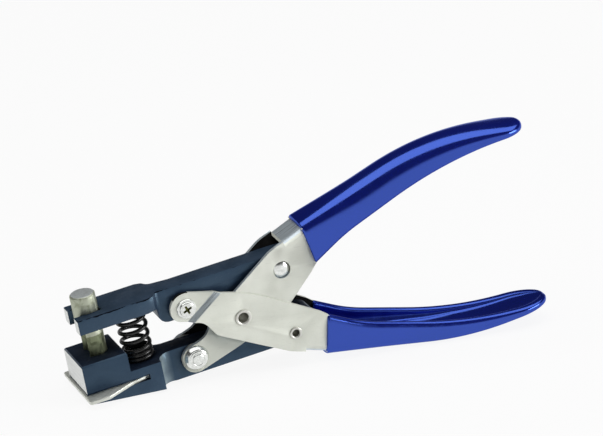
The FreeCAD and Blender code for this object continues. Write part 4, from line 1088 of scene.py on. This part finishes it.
def crossed_screw():
    profile = [(0, 5.9), (1.65, 5.9),
               *beyond(UPPER_FACE, (1.65, 0), (3.6, 0), (3.6, 0.4), (3.45, 0.62), (2.85, 0.7),
                       (2.72, 0.8)),
               *beyond(HEAD_END, (2.72, -0.4), (2.6, -0.2), (2.2, -0.05), (1.4, 0), (0, 0))]
    head = turned_half("screw_half", profile)
    body, tool = placed("screw_draft", head), placed("recess_draft", cross_recess())
    cut = body.modifiers.new("recess", "BOOLEAN")
    cut.operation = "DIFFERENCE"
    cut.object = tool
    cut.solver = "EXACT"
    mesh = baked(body, "crossed_screw")
    bpy.data.objects.remove(tool)
    mesh.transform(Matrix.Translation(pin_place("upper_jaw_screw")))
    finish_turned(mesh, 30.0)
    screw = keep("crossed_screw", mesh, ["upper_jaw_screw"], BRIGHT)
    axis = pin_place("upper_jaw_screw")
    # the faces inside the recess get painted shade
    refinish(screw, (RECESS_SHADE, lambda middle, _: -HEAD_END + RECESS_LIP < middle.y < -SHANK_END
                     and (middle - axis).xz.length < SHADE_REACH))


crossed_screw()
soften("screw_nut", "upper_jaw_nut", BRIGHT, 0.15)

# %% Finishes of the parts that keep their own mesh
KEPT = ("guide_plate_screws", "upper_jaw_washers", "lower_jaw_washers", "upper_slide_washers",
        "lower_slide_roller")
for name in KEPT:
    part = frame["nodes"][name]
    part.data.materials.clear()
    part.data.materials.append(PLATED)
print("finished nodes", len(KEPT))

# %% [markdown]
# ## Floor and light
#
# The tool lies on a white sheet. A soft lamp stands low to the right of the front and a long
# one hangs above, so that shadows are faint and the glossy vinyl has long highlights.

# %% Floor
FLOOR_HALF = 4.0  # metres
WHITE_SHARE = 0.9  # how much of what is seen of the floor is plain white


def seen(tree, share):
    """A share for rays that see the background, and none for rays that light the tool."""
    path = tree.nodes.new("ShaderNodeLightPath").outputs
    total = path["Is Camera Ray"]
    for kind in ("Is Glossy Ray", "Is Transmission Ray"):
        total = maths(tree, "MAXIMUM", total, path[kind])
    return product(tree, total, share)


def make_floor():
    mesh = bpy.data.meshes.new("floor")
    signs = ((-1, -1), (1, -1), (1, 1), (-1, 1))
    corners = [(FLOOR_HALF * x, FLOOR_HALF * y, 0) for x, y in signs]
    mesh.from_pydata(corners, [], [(0, 1, 2, 3)])
    floor = placed("floor", mesh)
    finish = bpy.data.materials.new("floor_white")
    finish.use_nodes = True
    tree = finish.node_tree
    shader = tree.nodes["Principled BSDF"]
    shader.inputs["Base Color"].default_value = (0.9, 0.9, 0.9, 1)
    shader.inputs["Roughness"].default_value = 0.8
    shader.inputs["Specular IOR Level"].default_value = 0
    paper = joined(tree, "ShaderNodeEmission", {"Color": (1, 1, 1, 1)})
    mix = joined(tree, "ShaderNodeMixShader", {
        0: seen(tree, WHITE_SHARE), 1: shader.outputs[0], 2: paper.outputs[0]})
    tree.links.new(mix.outputs[0], tree.nodes["Material Output"].inputs["Surface"])
    mesh.materials.append(finish)


make_floor()

# %% Lamps and world
def lamp(name, place, aim, size, power):
    """A soft rectangular lamp; places and sizes in metres, power in watts."""
    light = bpy.data.lights.new(name, "AREA")
    light.shape = "RECTANGLE"
    light.size, light.size_y = size
    light.energy = power
    holder = placed(name, light)
    direction = Vector(aim) - Vector(place)
    holder.rotation_euler = direction.to_track_quat("-Z", "Y").to_euler()
    holder.location = place


lamp("front_right", (1.15, -0.8, 0.28), (0, 0, 0.03), (0.8, 0.5), 11.0)
lamp("overhead", (0, 0, 1.1), (0, 0, 0), (2.2, 1.0), 12.0)

world = bpy.data.worlds.new("studio")
bpy.context.scene.world = world
world.use_nodes = True
air = world.node_tree
background = air.nodes["Background"]
background.inputs["Color"].default_value = (1, 1, 1, 1)
around = air.nodes.new("ShaderNodeTexCoord").outputs["Generated"]
ways = joined(air, "ShaderNodeSeparateXYZ", {0: around})
# bright at the horizon and dim above, so that the vinyl has dark bands beside its highlights
sky = span(air, ways.outputs["Z"], 0.9, 0.08, 0.05, 0.25)
air.links.new(sky, background.inputs["Strength"])
bpy.context.scene.view_settings.view_transform = "Standard"
